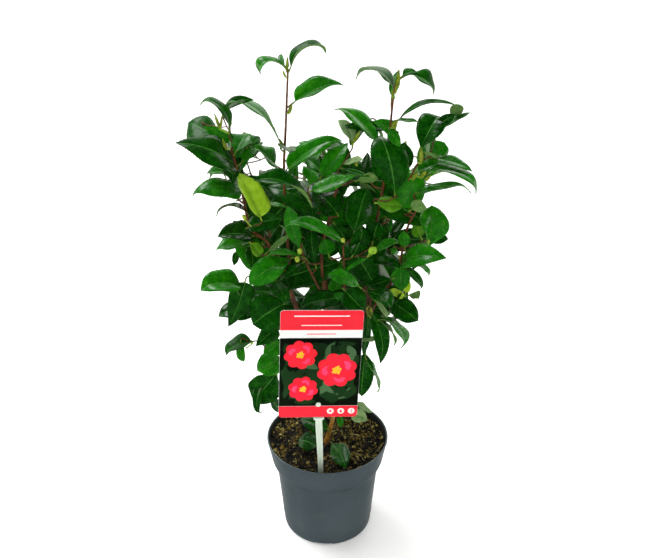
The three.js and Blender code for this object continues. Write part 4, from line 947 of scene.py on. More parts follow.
def make_pot():
    h, cz = POT["height"], POT["height"] - POT["collar"]
    b, wt, cf, rr, w = POT["base"], POT["wall_top"], POT["collar_foot"], POT["rim"], POT["wall"]
    at = lambda z: b + (wt - b) * (z - 2.6) / (cz - 6.2)
    prof = [(0, 1.2), (b - 9, 1.2), (b - 7.5, 0.0), (b - 2.2, 0), (b - 0.5, 0.9), (b, 2.6)]
    for z in (14, 15.2, 16.4, 17.6):  # a faint moulded line low on the wall
        prof.append((at(z) + (0.35 if z in (15.2, 16.4) else 0), z))
    for z in (40, 62, 80):
        prof.append((at(z), z))
    prof += [(wt, cz - 3.6), (wt + 1.9, cz - 2.9), (cf - 1.3, cz + 0.6), (cf, cz + 4.5)]
    for t in (0.25, 0.5, 0.75):
        prof.append((cf + (rr - 0.5 - cf) * t, cz + 4.5 + (h - 2.4 - cz - 4.5) * t))
    prof += [(rr - 0.5, h - 3.0), (rr, h - 2.2), (rr, h - 0.6), (rr - 0.5, h), (rr - w, h), (rr - w - 0.5, h - 0.6),
             (cf - w, cz + 4.8), (cf - w - 2, cz + 1.2), (wt - w, cz - 3), (b - w, 3.6), (b - w - 1.2, 2.4), (0, 2.4)]

    def shape(G, a):
        for k in range(3):
            mid = -math.pi / 2 - 0.1 + k * 2 * math.pi / 3
            off = np.abs((a - mid + np.pi) % (2 * np.pi) - np.pi) * b
            lift = np.clip((13 - off) / 1.6, 0, 1) * 2.2
            low = (G[..., 2] < 2.3) & (np.hypot(G[..., 0], G[..., 1]) > b - 8.2)
            G[..., 2] = np.where(low, np.maximum(G[..., 2], lift[None, :] + G[..., 2] * 0.1), G[..., 2])
        # never quite round: a thin wall gives a little
        out = 1 + 0.0022 * np.sin(2 * a + 0.7)[None, :] * (G[..., 2] / h) ** 2
        G[..., 0] *= out
        G[..., 1] *= out
        return G

    s = Soup()
    lathe(s, soften(prof), 200, 0, shape)
    pot = from_soup("pot_shell", s, [plastic("pot_grey", (62, 73, 79), (71, 83, 89), (82, 94, 99), 0.40, (96, 100, 86), 0.2, 0.6)])
    # drain holes
    cut = Soup()
    for k in range(4):
        a = (k + 0.5) * math.pi / 2
        line = np.array([[43 * math.cos(a), 43 * math.sin(a), z] for z in (-3, 0, 3, 6)], float)
        add_tube(cut, rings(line, [4] * 4, 24))
    V, Q, M, S = cut.arrays()
    tool = new_mesh("drain_tool", V * MM, Q.ravel(), np.arange(len(Q)) * 4, [])
    mod = pot.modifiers.new("drains", "BOOLEAN")
    mod.operation, mod.object, mod.solver = "DIFFERENCE", tool, "EXACT"
    bpy.context.view_layer.update()
    made = bpy.data.meshes.new_from_object(pot.evaluated_get(bpy.context.evaluated_depsgraph_get()))
    pot.modifiers.clear()
    pot.data = made
    bpy.data.objects.remove(tool)
    # the inside walls are painted darker: painted shade inside the pot, with spots of soil-coloured dust
    me = pot.data
    n = len(me.polygons)
    mid, nor = np.empty(n * 3, np.float32), np.empty(n * 3, np.float32)
    me.polygons.foreach_get("center", mid)
    me.polygons.foreach_get("normal", nor)
    mid, nor = mid.reshape(-1, 3), nor.reshape(-1, 3)
    inward_painted_shade = ((mid[:, :2] * nor[:, :2]).sum(1) < -0.3 * np.hypot(mid[:, 0], mid[:, 1])) & (mid[:, 2] < (h - 1.2) * MM)
    # painted shade: a near-black copy of the pot plastic for the faces that look into the pot
    me.materials.append(plastic("pot_inside_painted_shade", (10, 12, 12), (20, 22, 22), (34, 34, 30), 0.55, (30, 24, 14), 0.4))
    which = np.empty(n, np.int32)
    me.polygons.foreach_get("material_index", which)
    which[inward_painted_shade] = len(me.materials) - 1
    me.polygons.foreach_set("material_index", which)
    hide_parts("pot")
    return pot


# ---------------------------------------------------------------------------
# Soil
# ---------------------------------------------------------------------------
def lattice(seed, size=64):
    return np.random.RandomState(seed).rand(size, size)


def value_noise(x, y, grid, cell):
    g = grid.shape[0]
    u, v = np.asarray(x) / cell, np.asarray(y) / cell
    i, j = np.floor(u).astype(int), np.floor(v).astype(int)
    fu, fv = u - i, v - j
    fu, fv = fu * fu * (3 - 2 * fu), fv * fv * (3 - 2 * fv)
    a, b = grid[i % g, j % g], grid[(i + 1) % g, j % g]
    c, d = grid[i % g, (j + 1) % g], grid[(i + 1) % g, (j + 1) % g]
    return (a * (1 - fu) + b * fu) * (1 - fv) + (c * (1 - fu) + d * fu) * fv


LAT = [lattice(71), lattice(72), lattice(73)]
SOIL_EDGE = 71.8


def soil_top(x, y):
    r = np.hypot(x, y)
    z = 117.6 + 3.4 * (value_noise(x, y, LAT[0], 17.0) - 0.5) + 2.0 * (value_noise(x, y, LAT[1], 6.3) - 0.5)
    z = z + 1.3 * (value_noise(x, y, LAT[2], 2.3) - 0.5)
    z = z + 6.5 * np.clip((r - 63.5) / 8, 0, 1) ** 1.3 + 1.5 * np.exp(-((x + 3) ** 2 + y ** 2) / 60.0)
    return z


def make_soil():
    rnd = np.random.RandomState(9)
    n_r, n_a = 62, 240
    s = Soup()
    rr = np.sqrt(np.linspace(0.004, 1, n_r)) * SOIL_EDGE
    a = np.linspace(0, 2 * np.pi, n_a, endpoint=False)
    X, Y = rr[::-1, None] * np.cos(a), rr[::-1, None] * np.sin(a)
    top = np.stack([X, Y, soil_top(X, Y)], 2)
    lower = []
    for r, z in ((53.5, 3.6), (54.0, 6.0), (61.6, 92.0), (66.4, 99.0), (68.0, 103.0), (71.4, 113.2)):
        lower.append(np.stack([r * np.cos(a), r * np.sin(a), np.full(n_a, z)], 1))
    G = np.concatenate([np.array(lower), top])
    n = len(G)
    i, j = np.meshgrid(np.arange(n - 1), np.arange(n_a), indexing="ij")
    i, j = i.ravel(), j.ravel()
    jn = (j + 1) % n_a
    Q = np.stack([i * n_a + j, i * n_a + jn, (i + 1) * n_a + jn, (i + 1) * n_a + j], 1)
    k = np.arange(n_a // 2 - 1)
    ends = np.stack([k, k + 1, n_a - 2 - k, n_a - 1 - k], 1)
    s.add(G.reshape(-1, 3), np.vstack([Q, ends[:, ::-1], ends + (n - 1) * n_a]), 0, True)

    m = Nodes("peat")
    mix = m.sum(m.noise(95, 6.0, 0.7), m.noise(420, 4.0, 0.65), 0.55, 0.45)
    m.base(m.ramp(mix, [(0.30, rgb(3, 3, 2)), (0.50, rgb(9, 7, 4)), (0.62, rgb(16, 13, 5)), (0.76, rgb(54, 44, 14))]))
    m.rough(m.remap(mix, 0.3, 0.7, 0.98, 0.84))
    m.bump(m.sum(m.noise(260, 6.0, 0.7), m.cells(380), 1.0, 0.8), 1.0, 0.0022)
    soil = from_soup("soil_bed", s, [m.mat])
    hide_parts("soil")

    def scatter(count, seed):
        g = np.random.RandomState(seed)
        r, t = np.sqrt(g.rand(count)) * (SOIL_EDGE - 2.0), g.rand(count) * 2 * np.pi
        x, y = r * np.cos(t), r * np.sin(t)
        return x, y, soil_top(x, y), g

    # crumbs: each a small uneven lump, some tan, most dark
    phi = (1 + 5 ** 0.5) / 2
    cube = np.array([(i, j, k) for i in (-1, 1) for j in (-1, 1) for k in (-1, 1)], float)
    cq = np.array([(0, 1, 3, 2), (4, 6, 7, 5), (0, 4, 5, 1), (2, 3, 7, 6), (0, 2, 6, 4), (1, 5, 7, 3)])
    crumbs = Soup()
    x, y, z, g = scatter(5200, 31)
    for k in range(len(x)):
        size = 0.4 + 1.25 * g.rand() ** 2.8
        v = cube * (0.62 + 0.6 * g.rand(8, 1)) * size * (1 + 0.7 * (g.rand(3) - 0.5))
        q, _ = np.linalg.qr(g.randn(3, 3))
        if np.linalg.det(q) < 0:
            q[:, 0] = -q[:, 0]
        patch = min(1.0, max(0.0, (value_noise(x[k], y[k], LAT[1], 15.0) - 0.40) / 0.2))
        kind = 0 if g.rand() < 0.95 - 0.34 * patch else (1 if g.rand() < (0.84 if x[k] < 0 else 0.6) else 2)
        crumbs.add(v @ q.T + [x[k], y[k], z[k] + size * 0.25], cq, kind, False)
    mats = []
    for name, c0, c1 in (("crumb_dark", (5, 4, 3), (20, 15, 8)), ("crumb_ochre", (78, 62, 12), (128, 104, 28)), ("crumb_tan", (136, 122, 62), (192, 178, 112))):
        m = Nodes(name)
        m.base(m.ramp(m.noise(500, 4.0, 0.7), [(0.3, rgb(*c0)), (0.7, rgb(*c1))]))
        m.rough(m.remap(m.noise(700), 0.3, 0.7, 0.8, 0.95))
        m.bump(m.noise(900, 4.0), 0.6, 0.0006)
        mats.append(m.mat)
    from_soup("soil_crumbs", crumbs, mats)

    fibres = Soup()
    x, y, z, g = scatter(900, 32)
    for k in range(len(x)):
        L = 3 + 13 * g.rand() ** 2
        t = g.rand() * 2 * np.pi
        d = np.array([np.cos(t), np.sin(t), 0.0])
        side = np.array([-d[1], d[0], 0.0])
        u = np.linspace(-0.5, 0.5, 7)
        curl = (g.rand() - 0.5) * 0.8
        P = np.array([x[k], y[k], 0]) + d * (u * L)[:, None] + side * (curl * L * (u * u - 0.12))[:, None]
        rad = np.hypot(P[:, 0], P[:, 1])
        P[:, :2] *= np.minimum(1, (SOIL_EDGE - 1.2) / np.maximum(rad, 1e-6))[:, None]
        P[:, 2] = soil_top(P[:, 0], P[:, 1]) + 0.35 + 1.3 * g.rand() * (1 - (2 * u) ** 2)
        w = (0.16 + 0.34 * g.rand() ** 2) * np.array([0.5, 0.9, 1, 1, 1, 0.9, 0.5])
        kind = 0 if g.rand() < 0.35 else (1 if g.rand() < (0.8 if x[k] < 0 else 0.5) else 2)
        add_tube(fibres, rings(P, w, 6), kind)
    from_soup("soil_fibres", fibres, mats)
    return soil


# ---------------------------------------------------------------------------
# Label: a printed card on a flat stick
# ---------------------------------------------------------------------------
CARD = dict(width=90.0, height=140.0, thick=0.8, corner=4.0, foot=(-11.0, -60.0, 202.0), lean=math.radians(2.47), turn=math.radians(4.65))
FOOTER, PICTURE, STRIPE = 15.5, 105.6, 115.6


def turned(x, y, z):
    """The label's turn about the upright line through the card's foot."""
    c, s = math.cos(CARD["turn"]), math.sin(CARD["turn"])
    x0, y0 = CARD["foot"][:2]
    return np.stack([x0 + (x - x0) * c - (y - y0) * s, y0 + (x - x0) * s + (y - y0) * c, z], -1)


def on_card(u, v, out):
    """A point of the card: u right, v up from its lower edge, out towards the reader."""
    c, s = math.cos(CARD["lean"]), math.sin(CARD["lean"])
    x0, y0, z0 = CARD["foot"]
    u, v, out = np.broadcast_arrays(np.asarray(u, float), np.asarray(v, float), np.asarray(out, float))
    return turned(x0 + u * c + v * s, y0 - out, z0 - u * s + v * c)


def rounded(u0, v0, u1, v1, r, n=8):
    """Outline of a box with rounded corners, r one number or four (from the lower right, anticlockwise)."""
    r = [r] * 4 if isinstance(r, (int, float)) else list(r)
    pts = []
    for (cu, cv, q), rad in zip(((u1, v0, -90), (u1, v1, 0), (u0, v1, 90), (u0, v0, 180)), r):
        su, sv = (1 if cu == u1 else -1), (1 if cv == v1 else -1)
        for t in np.radians(np.linspace(q, q + 90, n)):
            pts.append((cu - su * rad + rad * math.cos(t), cv - sv * rad + rad * math.sin(t)))
    return pts


class Flat:
    """Thin closed plates on the card: an outline, lower and upper height above the card's face."""

    def __init__(self):
        self.v, self.f, self.start, self.m, self.n, self.loops = [], [], [], [], 0, 0

    def plate(self, outline, low, high, mat, place=on_card):
        P = np.array(outline, float)
        k = len(P)
        e = 0.12 if high - low > 0.2 else 0.0
        c = P.mean(0)
        inner = c + (P - c) * (1 - e / max(1e-6, np.abs(P - c).max()))
        layers = [place(P[:, 0], P[:, 1], low), place(P[:, 0], P[:, 1], high - e * 0.7), place(inner[:, 0], inner[:, 1], high)]
        self.v.append(np.vstack(layers))
        o = self.n
        i = np.arange(k)
        j = (i + 1) % k
        for base in (0, k):
            for a, b in zip(i, j):
                self._face([o + base + a, o + base + b, o + base + k + b, o + base + k + a], mat)
        self._face(list(o + 2 * k + i), mat)
        self._face(list(o + i[::-1]), mat)
        self.n += 3 * k

    def _face(self, idx, mat):
        self.start.append(self.loops)
        self.f.extend(int(x) for x in idx)
        self.m.append(mat)
        self.loops += len(idx)

    def build(self, name, mats):
        ob = new_mesh(name, np.vstack(self.v) * MM, self.f, self.start, mats, self.m, np.zeros(len(self.start), bool))
        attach(ob, "root")
        return ob


def make_label():
    half = CARD["width"] / 2
    H = CARD["height"]
    card_mats = [plastic("card_white", (232, 234, 230), (240, 241, 238), (246, 247, 245), 0.34, None, 0.08),
                 plastic("card_red", (236, 16, 40), (244, 22, 48), (248, 34, 58), 0.32, None, 0.08),
                 plastic("card_ground", (3, 12, 3), (8, 24, 6), (20, 42, 14), 0.32, None, 0.08),
                 plastic("card_leaf", (10, 38, 10), (22, 62, 20), (48, 92, 42), 0.34, None, 0.08),
                 plastic("card_leaf_pale", (48, 84, 44), (74, 112, 68), (110, 142, 100), 0.34, None, 0.08),
                 plastic("card_petal", (240, 0, 26), (248, 0, 44), (250, 16, 76), 0.34, None, 0.08),
                 plastic("card_petal_pale", (255, 30, 84), (255, 60, 112), (255, 100, 146), 0.34, None, 0.08),
                 plastic("card_yellow", (226, 160, 6), (246, 190, 20), (252, 216, 70), 0.36, None, 0.1)]
    f = Flat()
    f.plate(rounded(-half, 0, half, H, 4.0), -0.4, 0.4, 0)
    f.plate(rounded(-half + 0.15, STRIPE, half - 0.15, H - 0.15, (0.3, 3.8, 3.8, 0.3)), 0.38, 0.46, 1)
    f.plate(rounded(-half + 0.15, 0.15, half - 0.15, FOOTER, (3.8, 0.3, 0.3, 3.8)), 0.38, 0.46, 1)
    f.plate(rounded(-half + 0.15, FOOTER + 0.3, half - 0.15, PICTURE, 0.3), 0.38, 0.44, 2)
    # plain rules where a header would have words
    f.plate(rounded(-30, 132.2, 30, 133.6, 0.6), 0.455, 0.5, 0)
    f.plate(rounded(-22, 121.0, 22, 122.0, 0.4), 0.455, 0.5, 0)
    f.plate(rounded(-16, 110.1, 16, 111.1, 0.4), 0.395, 0.44, 1)
    # leaves of the printed border
    rnd = np.random.RandomState(4)

    def blade(u, v, turn, length, wide):
        t = np.linspace(0, 1, 9)
        w = np.sin(np.pi * t ** 0.9) ** 0.8 * wide / 2
        w[0] = w[-1] = 0
        arc = 0.10 * length * np.sin(np.pi * t)
        up = np.stack([t * length, w + arc], 1)
        dn = np.stack([t * length, -w + arc], 1)[::-1][1:-1]
        P = np.vstack([dn[::-1], up[::-1]]) if False else np.vstack([np.stack([t * length, -w + arc], 1), up[::-1][1:-1]])
        c, s = math.cos(turn), math.sin(turn)
        return np.stack([u + P[:, 0] * c - P[:, 1] * s, v + P[:, 0] * s + P[:, 1] * c], 1)

    def inside(P):
        return P[:, 0].min() > -half + 1 and P[:, 0].max() < half - 1 and P[:, 1].min() > FOOTER + 1.2 and P[:, 1].max() < PICTURE - 1

    level = 0.442
    for k in range(150):
        u, v = (rnd.rand() - 0.5) * 86, FOOTER + 2 + rnd.rand() * 86
        P = blade(u, v, rnd.rand() * 6.28, 13 + 12 * rnd.rand(), 6 + 5 * rnd.rand())
        if inside(P):
            level += 0.0015
            f.plate(P, 0.43, level + 0.02, 4 if rnd.rand() < 0.2 else 3)
    # three rosettes of rounded petals, in rings, on a slant
    for u, v, R in ((-22, 84, 17.5), (19, 64, 21.5), (-18, 39, 16.0)):
        for ring, (count, reach, size, mat) in enumerate(((8, 0.62, 0.44, 5), (7, 0.44, 0.36, 6), (6, 0.27, 0.28, 5))):
            for j in range(count):
                a = 2 * math.pi * (j + 0.5 * (ring % 2)) / count + u * 0.1
                t = np.linspace(0, 2 * np.pi, 22, endpoint=False)
                pu, pv = u + R * reach * math.cos(a), v + R * reach * math.sin(a)
                e = np.stack([np.cos(t) * R * size, np.sin(t) * R * size * 0.86], 1)
                c, s = math.cos(a), math.sin(a)
                P = np.stack([pu + e[:, 0] * c - e[:, 1] * s, pv + e[:, 0] * s + e[:, 1] * c], 1)
                level += 0.004
                f.plate(P, 0.43, level + 0.03, mat if j % 2 else 5)
        for j in range(13):
            a, d = j * 2.4, R * 0.115 * math.sqrt(j) * 0.55
            t = np.linspace(0, 2 * np.pi, 10, endpoint=False)
            level += 0.003
            f.plate(np.stack([u + d * math.cos(a) + 0.075 * R * np.cos(t), v + d * math.sin(a) + 0.075 * R * np.sin(t)], 1), 0.43, level + 0.04, 7)
    # three plain round signs in the footer: a sun, a drop and a height bar
    for k, u in enumerate((14.0, 26.0, 38.0)):
        t = np.linspace(0, 2 * np.pi, 28, endpoint=False)
        f.plate(np.stack([u + 3.9 * np.cos(t), 8.3 + 3.9 * np.sin(t)], 1), 0.455, 0.5, 0)
        if k == 0:
            f.plate(np.stack([u + 1.5 * np.cos(t), 8.3 + 1.5 * np.sin(t)], 1), 0.495, 0.53, 1)
            for j in range(8):
                a = j * math.pi / 4
                c, s = math.cos(a), math.sin(a)
                f.plate([(u + p * c - q * s, 8.3 + p * s + q * c) for p, q in ((2.1, -0.22), (3.1, -0.16), (3.1, 0.16), (2.1, 0.22))], 0.495, 0.53, 1)
        elif k == 1:
            r = 1.7 * (1 - 0.0 * t)
            f.plate([(u + 1.55 * math.cos(a) * (1 - 0.55 * max(0, math.sin(a))), 7.7 + (1.55 if math.sin(a) < 0 else 2.9) * math.sin(a)) for a in t], 0.495, 0.53, 1)
        else:
            f.plate([(u - 0.35, 5.6), (u + 0.35, 5.6), (u + 0.35, 11.0), (u - 0.35, 11.0)], 0.495, 0.53, 1)
            for q in (5.8, 8.3, 10.8):
                f.plate([(u + 0.3, q - 0.25), (u + 1.7, q - 0.25), (u + 1.7, q + 0.25), (u + 0.3, q + 0.25)], 0.495, 0.525, 1)
    card = f.build("label_face", card_mats)
    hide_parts("label_card")

    # the stick: a flat blade with a groove down its face, a cross head and a button
    base = 116.0
    lean = math.radians(-1.5)
    c, s = math.cos(lean), math.sin(lean)
    back = 0.8 / 2 + 0.35 + 1.6 / 2
    fx, fy = -7.6, -60.0 + back

    def place(x, y, z):
        x, y, z = np.broadcast_arrays(np.asarray(x, float), np.asarray(y, float), np.asarray(z, float))
        return turned(fx + x * c + z * s, fy + y, base - x * s + z * c)

    st = Soup()
    prof = [(-1.0, 0.0), (-0.94, -0.55), (-0.80, -0.92), (-0.34, -1.0), (-0.24, -0.55), (0.24, -0.55), (0.34, -1.0), (0.80, -0.92), (0.94, -0.55), (1.0, 0.0),
            (0.94, 0.55), (0.80, 0.92), (0.3, 1.0), (0.0, 1.0), (-0.3, 1.0), (-0.80, 0.92), (-0.94, 0.55), (-0.985, 0.25)]
    prof = np.array(prof)
    grid = []
    for z, w in ((86.3, 0.5), (88, 1.3), (92, 2.0), (96, 2.3), (120, 2.9), (150, 3.45), (174, 3.85), (188, 4.0), (200, 4.0), (201.5, 4.0), (214, 4.0), (224, 4.0), (225.6, 3.9), (226, 3.6)):
        grid.append(place(prof[:, 0] * w, prof[:, 1] * 0.8, z - base))
    g = np.array(grid)
    n, m = g.shape[:2]
    i, j = np.meshgrid(np.arange(n - 1), np.arange(m), indexing="ij")
    i, j = i.ravel(), j.ravel()
    jn = (j + 1) % m
    Q = np.stack([i * m + j, i * m + jn, (i + 1) * m + jn, (i + 1) * m + j], 1)
    k = np.arange(m // 2 - 1)
    ends = np.stack([k, k + 1, m - 2 - k, m - 1 - k], 1)
    st.add(g.reshape(-1, 3), np.vstack([Q, ends[:, ::-1], ends + (n - 1) * m]), 0, True)

    def block(x0, x1, y0, y1, z0, z1, r=0.5):
        """A small block with rounded long edges."""
        t = []
        for cx, cy, q in ((x1 - r, y1 - r, 0), (x0 + r, y1 - r, 90), (x0 + r, y0 + r, 180), (x1 - r, y0 + r, 270)):
            for a in np.radians(np.linspace(q, q + 90, 5)):
                t.append((cx + r * math.cos(a), cy + r * math.sin(a)))
        t = np.array(t)
        mid = t.mean(0)
        rows = []
        for z, k in ((z0, 0.9), (z0 + 0.25, 1.0), (z1 - 0.25, 1.0), (z1, 0.9)):
            q = mid + (t - mid) * k
            rows.append(place(q[:, 0], q[:, 1], z - base))
        rows = np.array(rows)
        a, b = rows.shape[:2]
        i, j = np.meshgrid(np.arange(a - 1), np.arange(b), indexing="ij")
        i, j = i.ravel(), j.ravel()
        jn = (j + 1) % b
        Q = np.stack([i * b + j, i * b + jn, (i + 1) * b + jn, (i + 1) * b + j], 1)
        kk = np.arange(b // 2 - 1)
        e = np.stack([kk, kk + 1, b - 2 - kk, b - 1 - kk], 1)
        st.add(rows.reshape(-1, 3), np.vstack([Q, e[:, ::-1], e + (a - 1) * b]), 0, True)

    block(-6.0, 6.0, -2.9, 1.1, 198.6, 201.3)
    # the button that holds the card: post and domed cap
    a = np.linspace(0, 2 * np.pi, 32, endpoint=False)
    cap = []
    v0, y_face = 220.0 - base, -back - 0.4
    for r, y in ((1.5, -0.2), (1.5, y_face - 0.3), (2.6, y_face - 0.35), (3.0, y_face - 0.6), (3.0, y_face - 1.0), (2.7, y_face - 1.35), (1.9, y_face - 1.55), (0.8, y_face - 1.62)):
        cap.append(place(r * np.cos(a), y, v0 + r * np.sin(a)))
    cap = np.array(cap)
    n, m = cap.shape[:2]
    i, j = np.meshgrid(np.arange(n - 1), np.arange(m), indexing="ij")
    i, j = i.ravel(), j.ravel()
    jn = (j + 1) % m
    Q = np.stack([i * m + j, i * m + jn, (i + 1) * m + jn, (i + 1) * m + j], 1)
    k = np.arange(m // 2 - 1)
    ends = np.stack([k, k + 1, m - 2 - k, m - 1 - k], 1)
    st.add(cap.reshape(-1, 3), np.vstack([Q, ends[:, ::-1], ends + (n - 1) * m]), 0, True)
    stick = from_soup("stick_moulding", st, [plastic("stick_white", (198, 212, 194), (214, 226, 210), (226, 236, 222), 0.36, (170, 172, 150), 0.15)])
    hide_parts("label_stick")


# ---------------------------------------------------------------------------
# Trunk and boughs, with the bark's relief
# ---------------------------------------------------------------------------
def make_limbs():
    old = bark("bark_old", (92, 60, 16), (160, 112, 36), (204, 158, 80))
    young = bark("bark_young", (46, 20, 8), (102, 54, 20), (144, 92, 44), 1.3)
    rnd = np.random.RandomState(21)
    for name, (parent, r0, r1, path) in LIMBS.items():
        line, length = even(catmull(path, 16), 1.5)
        n = len(line)
        t = np.linspace(0, 1, n)
        rad = r0 + (r1 - r0) * t
        if name == "trunk":
            rad = rad + 1.6 * np.exp(-t * length / 6.5)
        swell = np.zeros(n)
        s = 10 + 12 * rnd.rand()
        while s < length - 6:  # leaf scars: small collars, nearer together towards the tip
            swell += 0.17 * np.exp(-((t * length - s) / 1.4) ** 2)
            s += 14 + 12 * rnd.rand()
        ph = rnd.rand(6) * 6.28

        def ripple(k, ang, t=t, swell=swell, ph=ph, name=name, length=length):
            z = t[k] * length
            rough = 0.05 if name == "trunk" else 0.035
            out = 1 + swell[k] * (0.6 + 0.4 * np.cos(ang - ph[0] - z * 0.2))
            out = out + rough * np.sin(3 * ang + z * 0.11 + ph[1]) + rough * 0.8 * np.sin(5 * ang - z * 0.23 + ph[2]) * np.sin(z * 0.4 + ph[3])
            out = out + rough * 0.6 * np.sin(z * 1.7 + 2 * ang + ph[4]) * np.sin(7 * ang + ph[5])
            if name == "trunk":
                out = out + 0.16 * np.exp(-z / 5.0) * np.cos(4 * ang + 0.6)
            return out

        if name == "trunk":
            line[0, 2] -= 0.0
        s_ = Soup()
        add_tube(s_, rings(line, rad, 18, 0.0, ripple), 0)
        ob = from_soup(name + "_bark", s_, [old if name == "trunk" else young])
        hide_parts(name)


# ---------------------------------------------------------------------------
# Foliage
# ---------------------------------------------------------------------------
GROUPS = {
    "left": ("foliage_left_leader_top", "foliage_left_leader_mid", "foliage_left_leader_low", "foliage_upper_left", "foliage_left_side", "foliage_left_waist",
             "foliage_left_low", "foliage_left_inner", "foliage_left_sprig", "foliage_left_foot"),
    "centre": ("foliage_centre_left", "foliage_centre_top", "foliage_centre_high", "foliage_centre_front", "foliage_centre_low", "foliage_soil_left", "foliage_soil_right"),
    "right": ("foliage_right_leader_top", "foliage_right_leader_mid", "foliage_right_inner_top", "foliage_right_upper", "foliage_right_side", "foliage_right_low",
              "foliage_right_inner", "foliage_right_low_inner", "foliage_right_hanging", "foliage_label_side"),
    "back": ("foliage_back_left", "foliage_back_left_low", "foliage_back_top", "foliage_back_low", "foliage_back_right", "foliage_back_right_low"),
}
# the l kind wears a pale matte colour on its upper side: partly the leaf's own pale underside colour, partly painted
# sheen standing in for glossy highlights
KINDS = {"d": (0, 4, 7), "m": (1, 4, 7), "b": (2, 5, 8), "y": (3, 5, 8), "l": (6, 4, 7), "k": (9, 4, 7)}


def make_foliage():
    rows = [(mass,) + row for mass, rs in OUTER.items() for row in rs]
    leaves, stems, buds = grow_plant(rows, {k: BOX[k] for k in SHOOTS}, PRUNED)
    mats = [leaf_upper("leaf_deep", (2, 48, 0), (8, 68, 1), (22, 88, 4)),
            leaf_upper("leaf_green", (14, 92, 2), (28, 112, 4), (56, 134, 12)),
            leaf_upper("leaf_fresh", (56, 116, 6), (80, 142, 12), (110, 162, 34), 0.36),
            leaf_upper("leaf_young", (124, 168, 22), (148, 190, 34), (170, 206, 60), 0.4),
            leaf_under("leaf_back", (72, 112, 48), (108, 142, 74)),
            leaf_under("leaf_back_young", (118, 150, 54), (148, 172, 76)),
            # pale matte green for the l kind: partly the real underside colour, partly painted sheen
            leaf_under("leaf_pale_painted_sheen", (100, 136, 80), (142, 168, 116)),
            rib("rib_green", (40, 104, 22), (74, 136, 44)),
            rib("rib_pale", (112, 168, 40), (150, 190, 76)),
            leaf_upper("leaf_satin", (2, 50, 0), (14, 80, 2), (36, 104, 8), 0.34, 0.26)]
    group_of = {m: g for g, ms in GROUPS.items() for m in ms}
    soups = {}
    for l in leaves:
        g = group_of[l["mass"]]
        up, un, ri = KINDS[l["kind"]]
        part = 1
        while soups.setdefault((g, part), Soup()).tris() > 170000:
            part += 1
        add_leaf(soups[(g, part)], l["top"], l["und"], up, un, ri)
    for (g, part), s in sorted(soups.items()):
        ob = from_soup(f"leaves_{g}" + ("" if part == 1 else f"_{part}"), s, mats)
        if part == 1:
            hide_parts(*[m for m in GROUPS[g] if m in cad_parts])
        print("leaves", g, part, s.tris())

    # twigs, and a green stalk under every blade
    tw, st = Soup(), Soup()
    rnd = np.random.RandomState(77)
    for line, rad in stems.twigs:
        ph = rnd.rand(3) * 6.28
        add_tube(tw, rings(line, rad, 10, 0, lambda k, a: 1 + 0.05 * np.sin(3 * a + k * 0.6 + ph[0]) + 0.10 * np.exp(-((k % 7) - 3) ** 2 / 1.2)), 0)
    for l in leaves:
        mid = midrib_points(l["top"])
        lead = unit(mid[3] - mid[0])
        a, b = np.array(l["stalk"], float), mid[0] - 0.3 * unit(np.cross(lead, [0, 0, 1.0]))
        b = (l["top"][0].mean(0) + l["und"][0].mean(0)) / 2
        pts, _ = even(catmull([a, a + (b - a) * 0.4 + np.array([0, 0, -0.4]), b - lead * 1.2, b + lead * 1.6], 6), 0.9)
        w = np.linspace(0.95, 0.62, len(pts))
        add_tube(st, rings(pts, w, 8), 0 if l["kind"] in "dmlk" else 1)
    from_soup("twigs", tw, [bark("bark_twig", (50, 24, 9), (96, 52, 20), (134, 96, 46), 1.6)])

    # buds: overlapping scales round a point; flower buds are rounder
    bd = Soup()
    for a, b, r, kind in buds + PLACED_BUDS:
        a, b = np.array(a, float), np.array(b, float)
        start, sr, far = stems.nearest(a, above=1e3)
        if 1.2 < far < 14:
            pts, _ = even(catmull([start, (start + a) / 2 - [0, 0, 0.3], a, a + (b - a) * 0.2], 6), 0.9)
            add_tube(st, rings(pts, np.linspace(0.9, 0.75, len(pts)), 8), 1)
        d = unit(b - a)
        L = np.linalg.norm(b - a)
        t = np.linspace(0, 1, 15)
        if kind == "leaf":
            body = r * 0.85 * (0.35 + 1.0 * np.sin(np.pi * np.clip(t * 0.93 + 0.07, 0, 1)) ** 0.9) * (1 - 0.55 * t)
            body[-1] = 0.08
        else:
            body = r * np.sqrt(np.clip(1 - ((t - 0.5) * 2) ** 2, 0.02, 1))
        line = a + d * (t * L)[:, None]
        steps = 5 if kind == "leaf" else 4

        def scale_edge(k, ang, t=t, steps=steps):
            v = t[k] * steps + 0.35 * np.cos(2 * ang + (int(t[k] * steps) % 2) * math.pi / 2)
            return 1.06 - 0.12 * (v % 1.0)
        add_tube(bd, rings(line, body, 12, 0, scale_edge), 0 if kind == "leaf" else 1)
    from_soup("leaf_stalks", st, [rib("stalk_green", (70, 104, 24), (108, 138, 44)), rib("stalk_pale", (116, 152, 40), (150, 180, 66))])
    from_soup("buds", bd, [rib("bud_green", (84, 112, 14), (138, 150, 40)), rib("bud_round", (120, 146, 26), (168, 182, 66))])


